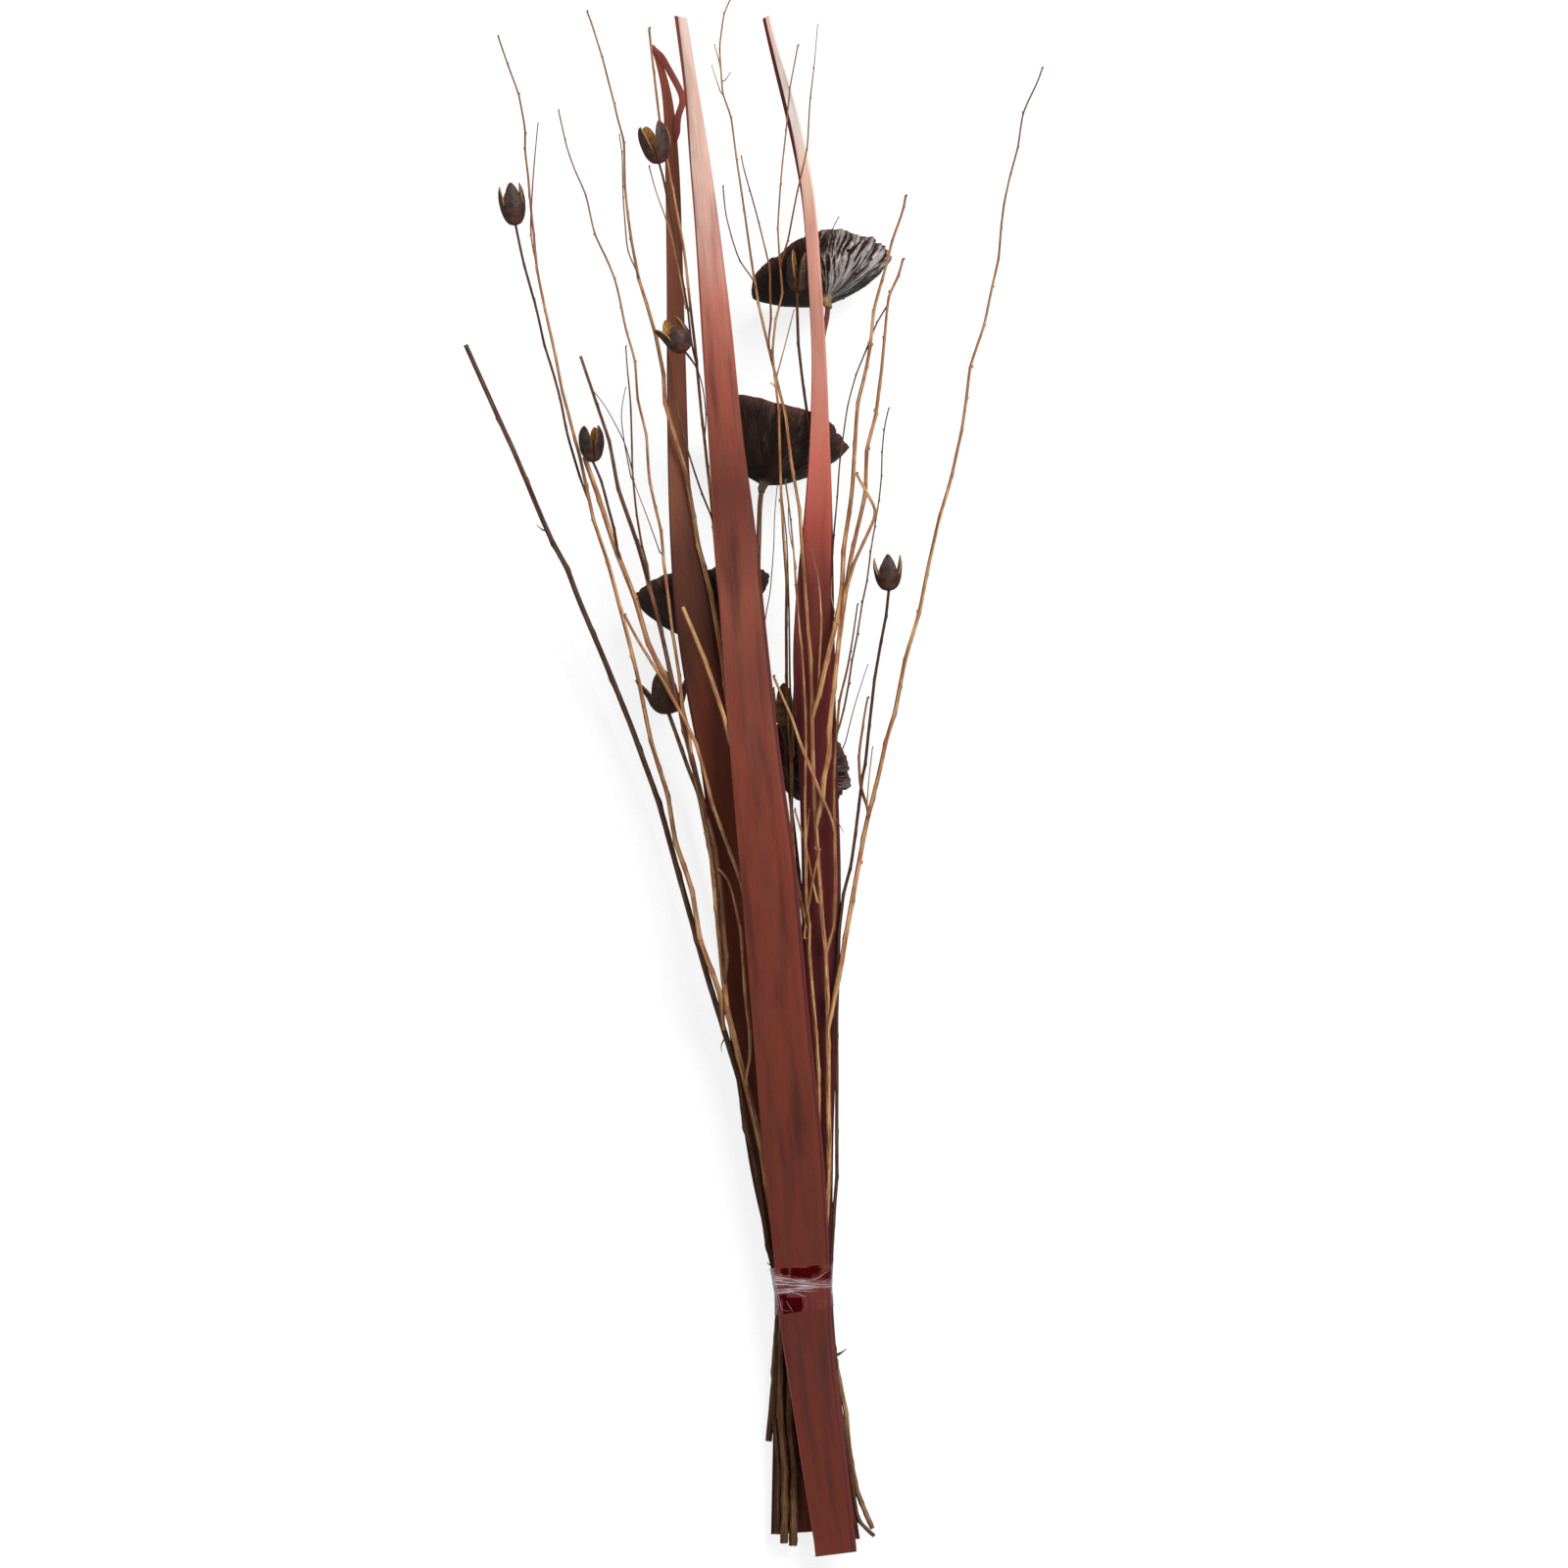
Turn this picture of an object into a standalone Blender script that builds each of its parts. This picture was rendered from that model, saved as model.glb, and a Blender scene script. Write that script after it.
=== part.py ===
"""A tied bunch of dried lotus pods, seed capsules, twigs and long leaf blades, lying on its back.

Routes and outlines are in millimetres from the middle of the tie, +Y towards the tips, as seen
from above. Each piece is laid on the ones under it, so a route gives only its way across the
floor and the pile gives its height. At the end the bunch is centred on its footprint.
"""

import math

import bmesh
import bpy
import numpy as np
from mathutils import Matrix, Vector

MM = 0.001
GAP = 0.3

# The tie: a band of clear film round all the stems.
TIE_LENGTH = 42
TIE_SLANT = 3
TIE_FILM = 0.7
TIE_DIRECTIONS = 28

# Half the width of the floor strip over which the film's underside lies below the stems.
TIE_BED = 40

# How late a stem turns up on its way from the tie to its tip.
RISE_POWER = 1.5

# How a stem bends over what it lies on: the tightest radius of a twig and of a pod's stem, and the
# length over which a bend is spread.
TWIG_STIFFNESS = 550
STEM_STIFFNESS = 260
BEND_SPREAD = 12
CHORD_ROUNDS = 60
CHORD_ERROR = 0.005

# The pile's height map, in which every laid piece is marked.
CELL = 0.5
WEST, EAST, SOUTH, NORTH = -300, 230, -240, 1030
CELL_REACH = 0.36
EDGE_SLACK = 0.02

# A stem thicker than this is drawn with five sides, and a thinner one with four.
FIVE_SIDED_RADIUS = 1.3

# Lotus pods: a funnel with a wavy rim and a sunken face. The funnel's outline is in shares of the
# pod's radius and depth, and the lip and face are in shares of the radius and heights over the rim.
POD_SEGMENTS = 28
POD_RIDGES = 14
POD_RIDGE_DEPTH = 0.025
POD_SWAY = 1.1
POD_SWAY_WIDTH = 0.012
POD_STUB = 4.5
POD_STUB_RADII = (2.6, 4.6, 5.6)
POD_FUNNEL = [(0.34, 0.84), (0.66, 0.54), (0.9, 0.2), (1, 0)]
POD_FACE = [(0.93, 1.6), (0.8, -3.5), (0.4, -1)]
POD_MIDDLE = 0.5
POD_NECK = 6

# Seed capsules: a cup that has split from the top into four valves.
CAPSULE_SEGMENTS = 16
CAPSULE_VALVES = 4
CAPSULE_WALL = 1.6
CAPSULE_BELLY = 0.55
CAPSULE_FOOT = 0.16
CAPSULE_OUTSIDE = (0, 0.12, 0.35, 0.62, 0.84, 1)
CAPSULE_INSIDE = (0.97, 0.6, 0.25)
CLEFT_SHARPNESS = 0.7
LIP_RISE = 0.4
STALK_STIFFNESS = 500

# Leaf blades: the places across a blade, as shares of its width, with how far each lies below the
# face where the blade is fully folded.
LEAF_THICKNESS = 1.1
LEAF_SECTION = [(0, -1.2), (0.3, 0), (0.88, 0.1), (1, -2.6)]
LEAF_CLEARANCE = 0.5

LOTUS_BROWN = (0.055, 0.032, 0.027)
CAPSULE_BROWN = (0.065, 0.036, 0.024)
TWIG_TAN = (0.36, 0.16, 0.06)
TWIG_DARK = (0.11, 0.055, 0.03)
STALK_DARK = (0.06, 0.035, 0.02)
LEAF_RED = (0.26, 0.06, 0.04)
LEAF_BROWN = (0.14, 0.045, 0.03)
FILM_CLEAR = (0.8, 0.8, 0.8)


for old in list(bpy.data.objects):
    bpy.data.objects.remove(old)


def finish_object(name, vertices, faces, colour, roughness=0.6):
    """Makes the closed mesh of one piece, with its own material, from millimetre vertices."""
    shell = bmesh.new()
    points = [shell.verts.new(Vector(place) * MM) for place in vertices]
    for face in faces:
        shell.faces.new([points[index] for index in face])
    bmesh.ops.triangulate(shell, faces=[face for face in shell.faces if len(face.verts) > 3])
    bmesh.ops.recalc_face_normals(shell, faces=shell.faces)
    mesh = bpy.data.meshes.new(name)
    shell.to_mesh(mesh)
    shell.free()
    mesh.shade_smooth()
    mesh.set_sharp_from_angle(angle=math.radians(50))
    material = bpy.data.materials.new(name)
    material.use_nodes = True
    surface = material.node_tree.nodes["Principled BSDF"]
    surface.inputs["Base Color"].default_value = (*colour, 1)
    surface.inputs["Roughness"].default_value = roughness
    surface.inputs["Metallic"].default_value = 0
    mesh.materials.append(material)
    piece = bpy.data.objects.new(name, mesh)
    bpy.context.scene.collection.objects.link(piece)
    return piece


def loft(rings):
    """Faces through rings of equal count, with a flat cap at each end."""
    count = len(rings[0])
    vertices = [tuple(point) for ring in rings for point in ring]
    faces = [tuple(reversed(range(count)))]
    for level in range(len(rings) - 1):
        low, high = level * count, (level + 1) * count
        for side in range(count):
            after = (side + 1) % count
            faces.append((low + side, low + after, high + after, high + side))
    faces.append(tuple(range(len(vertices) - count, len(vertices))))
    return vertices, faces


class Pile:
    """The height of what has been laid so far, on a fine grid over the floor."""

    def __init__(self):
        columns = round((EAST - WEST) / CELL)
        rows = round((NORTH - SOUTH) / CELL)
        self.top = np.zeros((columns, rows), np.float32)
        self.across = WEST + CELL * (np.arange(columns) + 0.5)
        self.along = SOUTH + CELL * (np.arange(rows) + 0.5)

    def span(self, low, high, start):
        return int((low - start) / CELL), int((high - start) / CELL) + 2

    def mark(self, vertices, faces):
        """Raises the map to the upper side of a piece."""
        points = np.array(vertices, float)
        for face in faces:
            for second, third in zip(face[1:-1], face[2:]):
                self.mark_triangle(points[[face[0], second, third]])

    def mark_triangle(self, corners):
        (ax, ay, az), (bx, by, bz), (cx, cy, cz) = corners
        area = (bx - ax) * (cy - ay) - (cx - ax) * (by - ay)
        if abs(area) < 1e-6:
            return
        x0, x1 = self.span(min(ax, bx, cx), max(ax, bx, cx), WEST)
        y0, y1 = self.span(min(ay, by, cy), max(ay, by, cy), SOUTH)
        x = self.across[x0:x1, None]
        y = self.along[None, y0:y1]
        to_b = ((x - ax) * (cy - ay) - (cx - ax) * (y - ay)) / area
        to_c = ((bx - ax) * (y - ay) - (x - ax) * (by - ay)) / area
        inside = (to_b >= -EDGE_SLACK) & (to_c >= -EDGE_SLACK) & (to_b + to_c <= 1 + EDGE_SLACK)
        height = az + to_b * (bz - az) + to_c * (cz - az)
        patch = self.top[x0:x1, y0:y1]
        patch[inside] = np.maximum(patch[inside], height[inside])

    def rest(self, x, y, radius):
        """The lowest centre height at which a ball of this radius clears the pile and the floor."""
        reach = radius + GAP + CELL_REACH
        x0, x1 = self.span(x - reach, x + reach, WEST)
        y0, y1 = self.span(y - reach, y + reach, SOUTH)
        away = (self.across[x0:x1, None] - x) ** 2 + (self.along[None, y0:y1] - y) ** 2
        patch = self.top[x0:x1, y0:y1]
        touched = (away < reach * reach) & (patch > 0)
        if not touched.any():
            return radius
        return max(radius, float((patch[touched] + np.sqrt(reach * reach - away[touched])).max()))

    def highest(self, x_low, x_high, y):
        """The map's heights across a strip one step wide, with their places."""
        x0, x1 = self.span(x_low - CELL, x_high + CELL, WEST)
        y0, y1 = self.span(y - 2 * CELL, y + 2 * CELL, SOUTH)
        return self.across[x0:x1], self.top[x0:x1, y0:y1].max(axis=1)


pile = Pile()
band = abs(pile.along) < TIE_LENGTH / 2 + TIE_SLANT
pile.top[np.ix_(abs(pile.across) < TIE_BED, band)] = TIE_FILM + GAP

laid_stems = {}
tie_samples = []


def ease_over(distance, needed, stiffness):
    """A smooth line at or over every needed height, bending no tighter than the stiffness radius."""
    bend = 1 / (2 * stiffness)
    apart = (distance[:, None] - distance[None, :]) ** 2
    arched = (needed[None, :] - bend * apart).max(axis=1)
    weights = np.exp(-apart / (2 * BEND_SPREAD ** 2))
    return (weights @ arched) / weights.sum(axis=1) + bend * BEND_SPREAD ** 2


def chords_over(knots, distance, needed, heights):
    """Raises the knots of a jointed line until its straight runs clear every needed height."""
    for _ in range(CHORD_ROUNDS):
        short = needed - np.interp(distance, knots, heights)
        if short.max() < CHORD_ERROR:
            break
        for run in range(len(knots) - 1):
            inside = (distance >= knots[run]) & (distance <= knots[run + 1])
            lift = max(0.0, short[inside].max()) if inside.any() else 0.0
            heights[run] += lift / 2
            heights[run + 1] += lift / 2
    return heights


def tube(path, radii, sides):
    """Rings square to a jointed path."""
    rings = []
    for index, centre in enumerate(path):
        before = path[max(index - 1, 0)]
        after = path[min(index + 1, len(path) - 1)]
        forward = (after - before).normalized()
        level = forward.cross(Vector((0, 0, 1))).normalized()
        upward = level.cross(forward)
        ring = []
        for side in range(sides):
            turn = 2 * math.pi * (side + 0.25) / sides
            ring.append(centre + radii[index] * (math.cos(turn) * level + math.sin(turn) * upward))
        rings.append(ring)
    return loft(rings)


def beside(parent, route, radius):
    """Where a fork starts against its parent's side, and the parent's height there."""
    path, radii = laid_stems[parent]
    places = np.array([tuple(point) for point in path])
    order = np.argsort(places[:, 1])
    (_, y), (x_next, y_next) = route[:2]
    x, z, thick = (np.interp(y, places[order, 1], column[order])
                   for column in (places[:, 0], places[:, 2], np.array(radii)))
    side = math.copysign(1, x_next - np.interp(y_next, places[order, 1], places[order, 0]))
    return x + side * (thick + radius + 2 * GAP + CELL_REACH), z


def lay(route, radii, tip_height, start_height=0.0, stiffness=TWIG_STIFFNESS, profile=None):
    """Heights of a stem's knots, so that it lies on the pile and rises to its tip.

    profile gives the radius at each distance along the route where the stem isn't a plain taper.
    """
    plan = np.array(route, float)
    knots = np.concatenate([[0], np.cumsum(np.hypot(*np.diff(plan, axis=0).T))])
    distance = np.arange(0, knots[-1] + 1, 1.0).clip(0, knots[-1])
    x = np.interp(distance, knots, plan[:, 0])
    y = np.interp(distance, knots, plan[:, 1])
    thick = profile(distance) if profile else np.interp(distance, knots, radii)
    begin = max(0.0, float(np.interp(0, plan[:, 1], knots))) if plan[0, 1] < 0 else 0.0
    rise = ((distance - begin) / max(knots[-1] - begin, 1)).clip(0, 1) ** RISE_POWER
    free = start_height + (tip_height - start_height) * rise
    resting = np.array([pile.rest(*place) for place in zip(x, y, thick)])
    needed = np.maximum(resting, free)
    smooth = ease_over(distance, needed, stiffness)
    heights = chords_over(knots, distance, resting, np.interp(knots, distance, smooth))
    return [Vector((*place, height)) for place, height in zip(route, heights)]


def keep_for_tie(path, radii):
    """Notes where a stem or leaf passes through the tie."""
    places = np.array([tuple(point) for point in path])
    for y in np.arange(-TIE_LENGTH / 2 - TIE_SLANT, TIE_LENGTH / 2 + TIE_SLANT + 1, 2.0):
        if places[:, 1].min() <= y <= places[:, 1].max():
            order = np.argsort(places[:, 1])
            x, z, thick = (np.interp(y, places[order, 1], column[order])
                           for column in (places[:, 0], places[:, 2], np.array(radii)))
            tie_samples.append((x, z, thick))


def add_stem(name, path, radii, colour):
    sides = 5 if max(radii) > FIVE_SIDED_RADIUS else 4
    vertices, faces = tube(path, radii, sides)
    pile.mark(vertices, faces)
    laid_stems[name] = (path, radii)
    keep_for_tie(path, radii)
    finish_object(name, vertices, faces, colour)


def taper(count, base, tip):
    return [base + (tip - base) * step / (count - 1) for step in range(count)]


def add_twig(name, route, base, tip, tip_height, parent=None, colour=TWIG_TAN):
    """A twig along its route, base first. One that grows from a parent starts against its side."""
    route = [tuple(place) for place in route]
    start_height = 0.0
    if parent:
        x, start_height = beside(parent, route, base)
        route[0] = (x, route[0][1])
    radii = taper(len(route), base, tip)
    path = lay(route, radii, tip_height, start_height)
    add_stem(name, path, radii, colour)


# Lotus pods and their stems. The faces nod to the floor, so each pod rests on the edge of its rim
# and hangs from an arched stem.

def pod_profile(radius, depth):
    """Radius and height of the pod's outline, from the stub round the rim to the face's middle."""
    heights = (-depth - POD_STUB, -depth - POD_STUB * 0.4, -depth + 1)
    funnel = [(radius * wide, -depth * deep) for wide, deep in POD_FUNNEL]
    face = [(radius * wide, height) for wide, height in POD_FACE]
    return [*zip(POD_STUB_RADII, heights), *funnel, *face]


def add_pod(number, centre, radius, depth, heading, nod, saddle, tuck, seed):
    """One pod. heading is the way it points across the floor and nod how far it faces down.

    saddle is how far the rim's two sides bend back towards the stem, and tuck is how far the rim's
    under side bends away from it.
    """
    rings = []
    for out, height in pod_profile(radius, depth):
        share = out / radius
        ring = []
        for segment in range(POD_SEGMENTS):
            turn = 2 * math.pi * segment / POD_SEGMENTS
            ridge = POD_RIDGE_DEPTH * share * math.cos(POD_RIDGES * turn)
            sway = share * share * (math.cos(2 * turn + seed) + math.cos(5 * turn + 2 * seed))
            bent = saddle * math.cos(2 * turn) - tuck * max(0.0, -math.sin(turn))
            wide = out * (1 + ridge + POD_SWAY_WIDTH * sway)
            lifted = height + POD_SWAY * sway - bent * share * share
            ring.append(Vector((wide * math.cos(turn), wide * math.sin(turn), lifted)))
        rings.append(ring)
    vertices, faces = loft(rings)
    faces.pop()
    vertices.append((0, 0, POD_MIDDLE))
    rim = len(vertices) - 1 - POD_SEGMENTS
    for segment in range(POD_SEGMENTS):
        faces.append((rim + segment, rim + (segment + 1) % POD_SEGMENTS, len(vertices) - 1))
    level = math.cos(nod)
    facing = Vector((math.cos(heading) * level, math.sin(heading) * level, -math.sin(nod)))
    turned = facing.to_track_quat("Z", "Y").to_matrix()
    placed = [turned @ Vector(point) for point in vertices]
    lift = -min(point.z for point in placed)
    seat = Vector((*centre, lift))
    placed = [point + seat for point in placed]
    pile.mark(placed, faces)
    finish_object(f"lotus_pod_{number}", placed, faces, LOTUS_BROWN, 0.45)
    return seat - facing * (depth + POD_STUB), facing


def add_pod_stem(number, route, stub, facing, base, tip):
    """The pod's stem: a straight neck out of the stub, then an arch down to the tie."""
    neck_end = stub - facing * POD_NECK
    route = [*route, (neck_end.x, neck_end.y)]
    radii = taper(len(route), base, tip)
    path = lay(route, radii, neck_end.z, stiffness=STEM_STIFFNESS)
    path[-1].z = neck_end.z
    neck = [stub - facing * (POD_NECK / 2), stub - facing * GAP]
    add_stem(f"lotus_stem_{number}", [*path, *neck], [*radii, tip, tip * 1.15], TWIG_DARK)


PODS = [
    # centre, radius, depth, heading and nod in degrees, saddle, tuck, seed, route of the stem from
    # its cut end, radius of the stem at the cut and at the pod
    ((7, 410), 37, 28, 30, 45, 0, 0, 3.3,
     [(21, -138), (14, 0), (11, 128), (1, 242), (-10, 320)], 2.4, 2.0),
    ((-77, 545), 52, 44, 99, 18, 0, 0, 0.6,
     [(-25, -116), (-14, 0), (-21, 105), (-36, 242), (-52, 380)], 2.6, 1.9),
    ((-18.5, 668), 56, 46, 76, 20, 0, 0, 4.1,
     [(-2, -161), (-4, 0), (-8, 128), (-16, 280), (-27, 432), (-34, 530)], 2.6, 1.9),
    ((14.5, 789), 55, 25, 105, 28, 2.8, 13, 1.9,
     [(12, -169), (5, 0), (8, 128), (13, 280), (17, 432), (14, 576), (14, 660), (17, 742)], 2.6, 1.9),
]

for number, (centre, radius, depth, heading, nod, saddle, tuck, seed, route, base, tip) in zip(
        (4, 3, 2, 1), PODS):
    stub, facing = add_pod(number, centre, radius, depth, math.radians(heading), math.radians(nod),
                           saddle, tuck, seed)
    add_pod_stem(number, route, stub, facing, base, tip)


# Seed capsules, each on its own dark stalk.

def capsule_radius(share, radius, spread):
    """Outline of the cup from its base to its rim: round below, drawn in or splayed at the top."""
    belly = math.sqrt(max(0.0, 1 - (1 - min(share / CAPSULE_BELLY, 1)) ** 2))
    mouth = max(0.0, share - CAPSULE_BELLY) / (1 - CAPSULE_BELLY)
    return radius * (CAPSULE_FOOT + (1 - CAPSULE_FOOT) * belly + (spread - 1) * mouth * mouth)


def add_capsule(name, foot, top, radius, split, spread):
    """A four-valved cup between two points. split is how deep the clefts go, as a share."""
    height = (top - foot).length
    outer, inner = [], []
    for share in CAPSULE_OUTSIDE:
        outer.append((share, 0))
    for share in CAPSULE_INSIDE:
        inner.append((share, CAPSULE_WALL))
    rings = []
    for share, wall in outer + inner:
        ring = []
        for segment in range(CAPSULE_SEGMENTS):
            turn = 2 * math.pi * segment / CAPSULE_SEGMENTS
            cleft = abs(math.cos(CAPSULE_VALVES * turn / 2)) ** CLEFT_SHARPNESS
            reach = share * (1 - split * (1 - cleft))
            across = capsule_radius(reach, radius, spread) - wall
            along = height * reach + wall * LIP_RISE
            ring.append(Vector((across * math.cos(turn), across * math.sin(turn), along)))
        rings.append(ring)
    vertices, faces = loft(rings)
    turned = (top - foot).to_track_quat("Z", "Y").to_matrix()
    placed = [foot + turned @ Vector(point) for point in vertices]
    pile.mark(placed, faces)
    finish_object(name, placed, faces, CAPSULE_BROWN, 0.7)


def add_capsule_on_stalk(number, route, top, radius, split, spread, base, tip, tip_height, parent=None,
                         colour=STALK_DARK):
    """A stalk along its route with the capsule on its end, laid on the pile together."""
    route = [tuple(place) for place in route]
    start_height = 0.0
    if parent:
        x, start_height = beside(parent, route, base)
        route[0] = (x, route[0][1])
    plan = np.array([*route, top], float)
    knots = np.concatenate([[0], np.cumsum(np.hypot(*np.diff(plan, axis=0).T))])
    stalk_length = knots[-2]

    def thickness(distance):
        share = ((distance - stalk_length) / (knots[-1] - stalk_length)).clip(0, 1)
        widest = radius * max(1, spread) * np.sqrt(share.clip(0, 0.5) * 2)
        return np.where(distance < stalk_length, base + (tip - base) * distance / stalk_length, widest)

    radii = taper(len(route), base, tip)
    path = lay([*route, top], None, tip_height, start_height, STALK_STIFFNESS, thickness)
    foot, crown = path[-2], path[-1]
    end = foot - (crown - foot).normalized() * GAP
    add_stem(f"capsule_stalk_{number}", [*path[:-2], end], radii, colour)
    add_capsule(f"seed_capsule_{number}", foot, crown, radius, split, spread)


add_capsule_on_stalk(8, [(24, -158), (21, -60), (20, 0), (17, 90), (10, 200), (4, 272), (-4, 348),
                         (-11, 409), (-12, 438)],
                     (-13, 472), 10, 0.55, 1.0, 1.9, 1.3, 40)
add_capsule_on_stalk(7, [(9, 240), (12, 330), (16, 400), (16, 470), (11, 576), (8, 660), (2, 701),
                         (-2, 734), (-3, 774)],
                     (0, 807), 10, 0.5, 0.9, 1.4, 1.1, 112, "capsule_stalk_8")
add_capsule_on_stalk(5, [(-19, -150), (-23, -60), (-20, 0), (-30, 100), (-44, 200), (-60, 290),
                         (-70, 340), (-79, 386), (-88, 408), (-96, 431), (-102, 448)],
                     (-107, 484), 12, 0.65, 1.35, 2.0, 1.5, 20, None, TWIG_TAN)
add_twig("twig_thin_right", [(17, 462), (21, 515), (26, 590), (30, 640), (36, 686), (43, 710), (59, 750),
                             (67, 763)],
         1.1, 0.6, 135, "capsule_stalk_7")


# Long leaf blades, folded along the midrib. Each outline gives the leaf's two edges along its
# length, with how much higher its right edge stands than its left.

def add_leaf(name, outline, fold, tip_height, stiffness, colour):
    stations = np.array(outline, float)
    y_all = np.arange(stations[0, 0], stations[-1, 0] + 1, 1.0).clip(None, stations[-1, 0])
    left, right, lean = (np.interp(y_all, stations[:, 0], stations[:, column]) for column in (1, 2, 3))
    shares = [share for share, _ in LEAF_SECTION]
    drops = [drop * fold for _, drop in LEAF_SECTION]
    resting = np.zeros(len(y_all))
    for step, y in enumerate(y_all):
        places, heights = pile.highest(left[step], right[step], y)
        across = ((places - left[step]) / (right[step] - left[step])).clip(0, 1)
        under = np.interp(across, shares, drops) + lean[step] * across
        resting[step] = max((heights - under).max(), -under.min())
    resting += LEAF_THICKNESS / 2 + LEAF_CLEARANCE
    rise = (y_all / y_all[-1]).clip(0, 1) ** RISE_POWER
    smooth = ease_over(y_all, np.maximum(resting, tip_height * rise), stiffness)
    heights = chords_over(stations[:, 0], y_all, resting, np.interp(stations[:, 0], y_all, smooth))
    rings = []
    for (y, x_left, x_right, high), base in zip(stations, heights):
        upper, lower = [], []
        for share, drop in zip(shares, drops):
            place = Vector((x_left + share * (x_right - x_left), y, base + drop + high * share))
            upper.append(place + Vector((0, 0, LEAF_THICKNESS / 2)))
            lower.append(place - Vector((0, 0, LEAF_THICKNESS / 2)))
        rings.append([*upper, *reversed(lower)])
    vertices, faces = loft(rings)
    pile.mark(vertices, faces)
    for side in range(2 * len(LEAF_SECTION)):
        keep_for_tie([ring[side] for ring in rings], [0.0] * len(rings))
    finish_object(name, vertices, faces, colour, 0.5)


add_leaf("leaf_blade_left", [
    (-188, -23, 9, 0), (-92, -21, 7, 0), (-30, -19, 8, 0), (14, -20, 9, 0), (86, -38, -9, 0),
    (218, -58, -30, 0), (356, -71, -46, 0), (410, -77, -50, 0), (443, -85, -56, 0), (515, -96.5, -65, 1),
    (551, -99.5, -72.5, 1), (582, -101, -79, 2), (623, -102.5, -86, 2), (695, -103.5, -88, 2),
    (778, -103.5, -90.5, 2), (865, -104.5, -93, 2), (909, -105.5, -96.5, 2), (929, -106, -98.5, 1),
    (949, -109.5, -103.5, 1), (964, -116, -112.5, 1),
], 0.5, 115, 550, LEAF_BROWN)

add_leaf("leaf_blade_right", [
    (-193, 14, 46, 0), (-136, 7, 38.5, 0), (-80, -1, 30.5, 0), (0, -7, 24, 0), (132, -4, 25.5, 0),
    (228, 0.5, 30, 0), (330, 1, 31.5, 0), (410, -1.5, 28, 0), (489, -7, 26.5, 0), (556, -2.5, 25.5, 0),
    (613, 4, 24.5, 2), (671, 7.5, 22, 4), (725, 9, 20, 5), (785, 5.5, 16, 5), (847, 1.5, 11.5, 4),
    (903, -10, 1, 3), (956, -23.5, -16, 2), (984, -29.5, -24.5, 1),
], 0.6, 130, 550, LEAF_RED)


# Twigs. The first five pass through the tie, and the others grow from them. Capsule 6 lies among
# those on the right.

add_twig("twig_left_dark", [
    (-18.5, -188), (-18.7, -138), (-22, -93), (-21, 0), (-35, 102), (-43, 128), (-47, 163), (-59, 202),
    (-74, 250), (-92, 315), (-110, 380), (-131, 438), (-155, 497), (-172, 537), (-181, 561),
    (-192, 581), (-201, 601), (-221, 649), (-236, 682), (-259, 733),
], 3.0, 2.2, 60, colour=TWIG_DARK)

add_twig("twig_left_main", [
    (-12.8, -195), (-12.3, -138), (-16, -93), (-14, 0), (-23, 67), (-30, 109), (-38, 144), (-50, 192),
    (-57, 219), (-62, 268), (-65, 299), (-69, 342), (-77, 382), (-83, 410), (-90, 435), (-94, 457),
    (-100, 470), (-110, 486), (-118, 503), (-128, 537), (-142, 573), (-147, 587), (-155, 612),
    (-167, 646),
], 3.0, 1.7, 110)

add_twig("twig_centre_main", [
    (-6, -197), (-4.8, -138), (-9, -93), (-7, 0), (-13, 128), (-24, 257), (-40, 348), (-52, 424), (-60, 488),
    (-69, 540), (-79, 578), (-88, 632), (-100, 671), (-105, 689), (-106, 710), (-112, 741),
    (-125, 784), (-131, 814), (-136, 856), (-136, 890), (-141, 906), (-153, 955), (-162, 983),
    (-165, 990),
], 3.0, 0.4, 130)

add_twig("twig_right_main", [
    (27, -176), (22, -93), (15.5, 0), (22, 86), (21, 226), (19, 267), (17, 283),
    (14, 330), (11, 369), (9, 430), (8, 489), (5, 521), (-1, 606), (-7, 640), (-12, 679),
    (-19, 708), (-33, 765), (-42, 825), (-54, 909), (-60, 926), (-63, 961),
    (-59, 988), (-54, 999),
], 2.4, 0.5, 150)

add_twig("twig_right_inner", [
    (55.5, -183), (49.5, -169.5), (43.5, -154), (38, -123), (35, -93), (27, -53), (12, 0), (14, 90),
    (14, 171), (11, 210), (6, 272), (-5, 331), (-7, 372), (-7, 409), (-11, 473), (-11, 551), (-15, 613),
    (-17, 682), (-22, 728), (-19, 753), (-14, 772), (-18, 823), (-14, 873), (-11, 902), (-8, 931),
    (-2, 964),
], 1.9, 0.5, 140)

add_capsule_on_stalk(6, [
    (57, -188), (50, -184), (44, -176), (40, -150), (35, -115), (30, -85), (22, 0), (28, 90), (28, 166),
    (28, 226), (30, 280), (33, 309), (39, 330), (43, 361), (48, 400), (50, 410), (54, 446), (57, 475),
    (66, 524), (68, 543),
], (67, 572), 11, 0.45, 0.95, 1.7, 1.1, 95)

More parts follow.
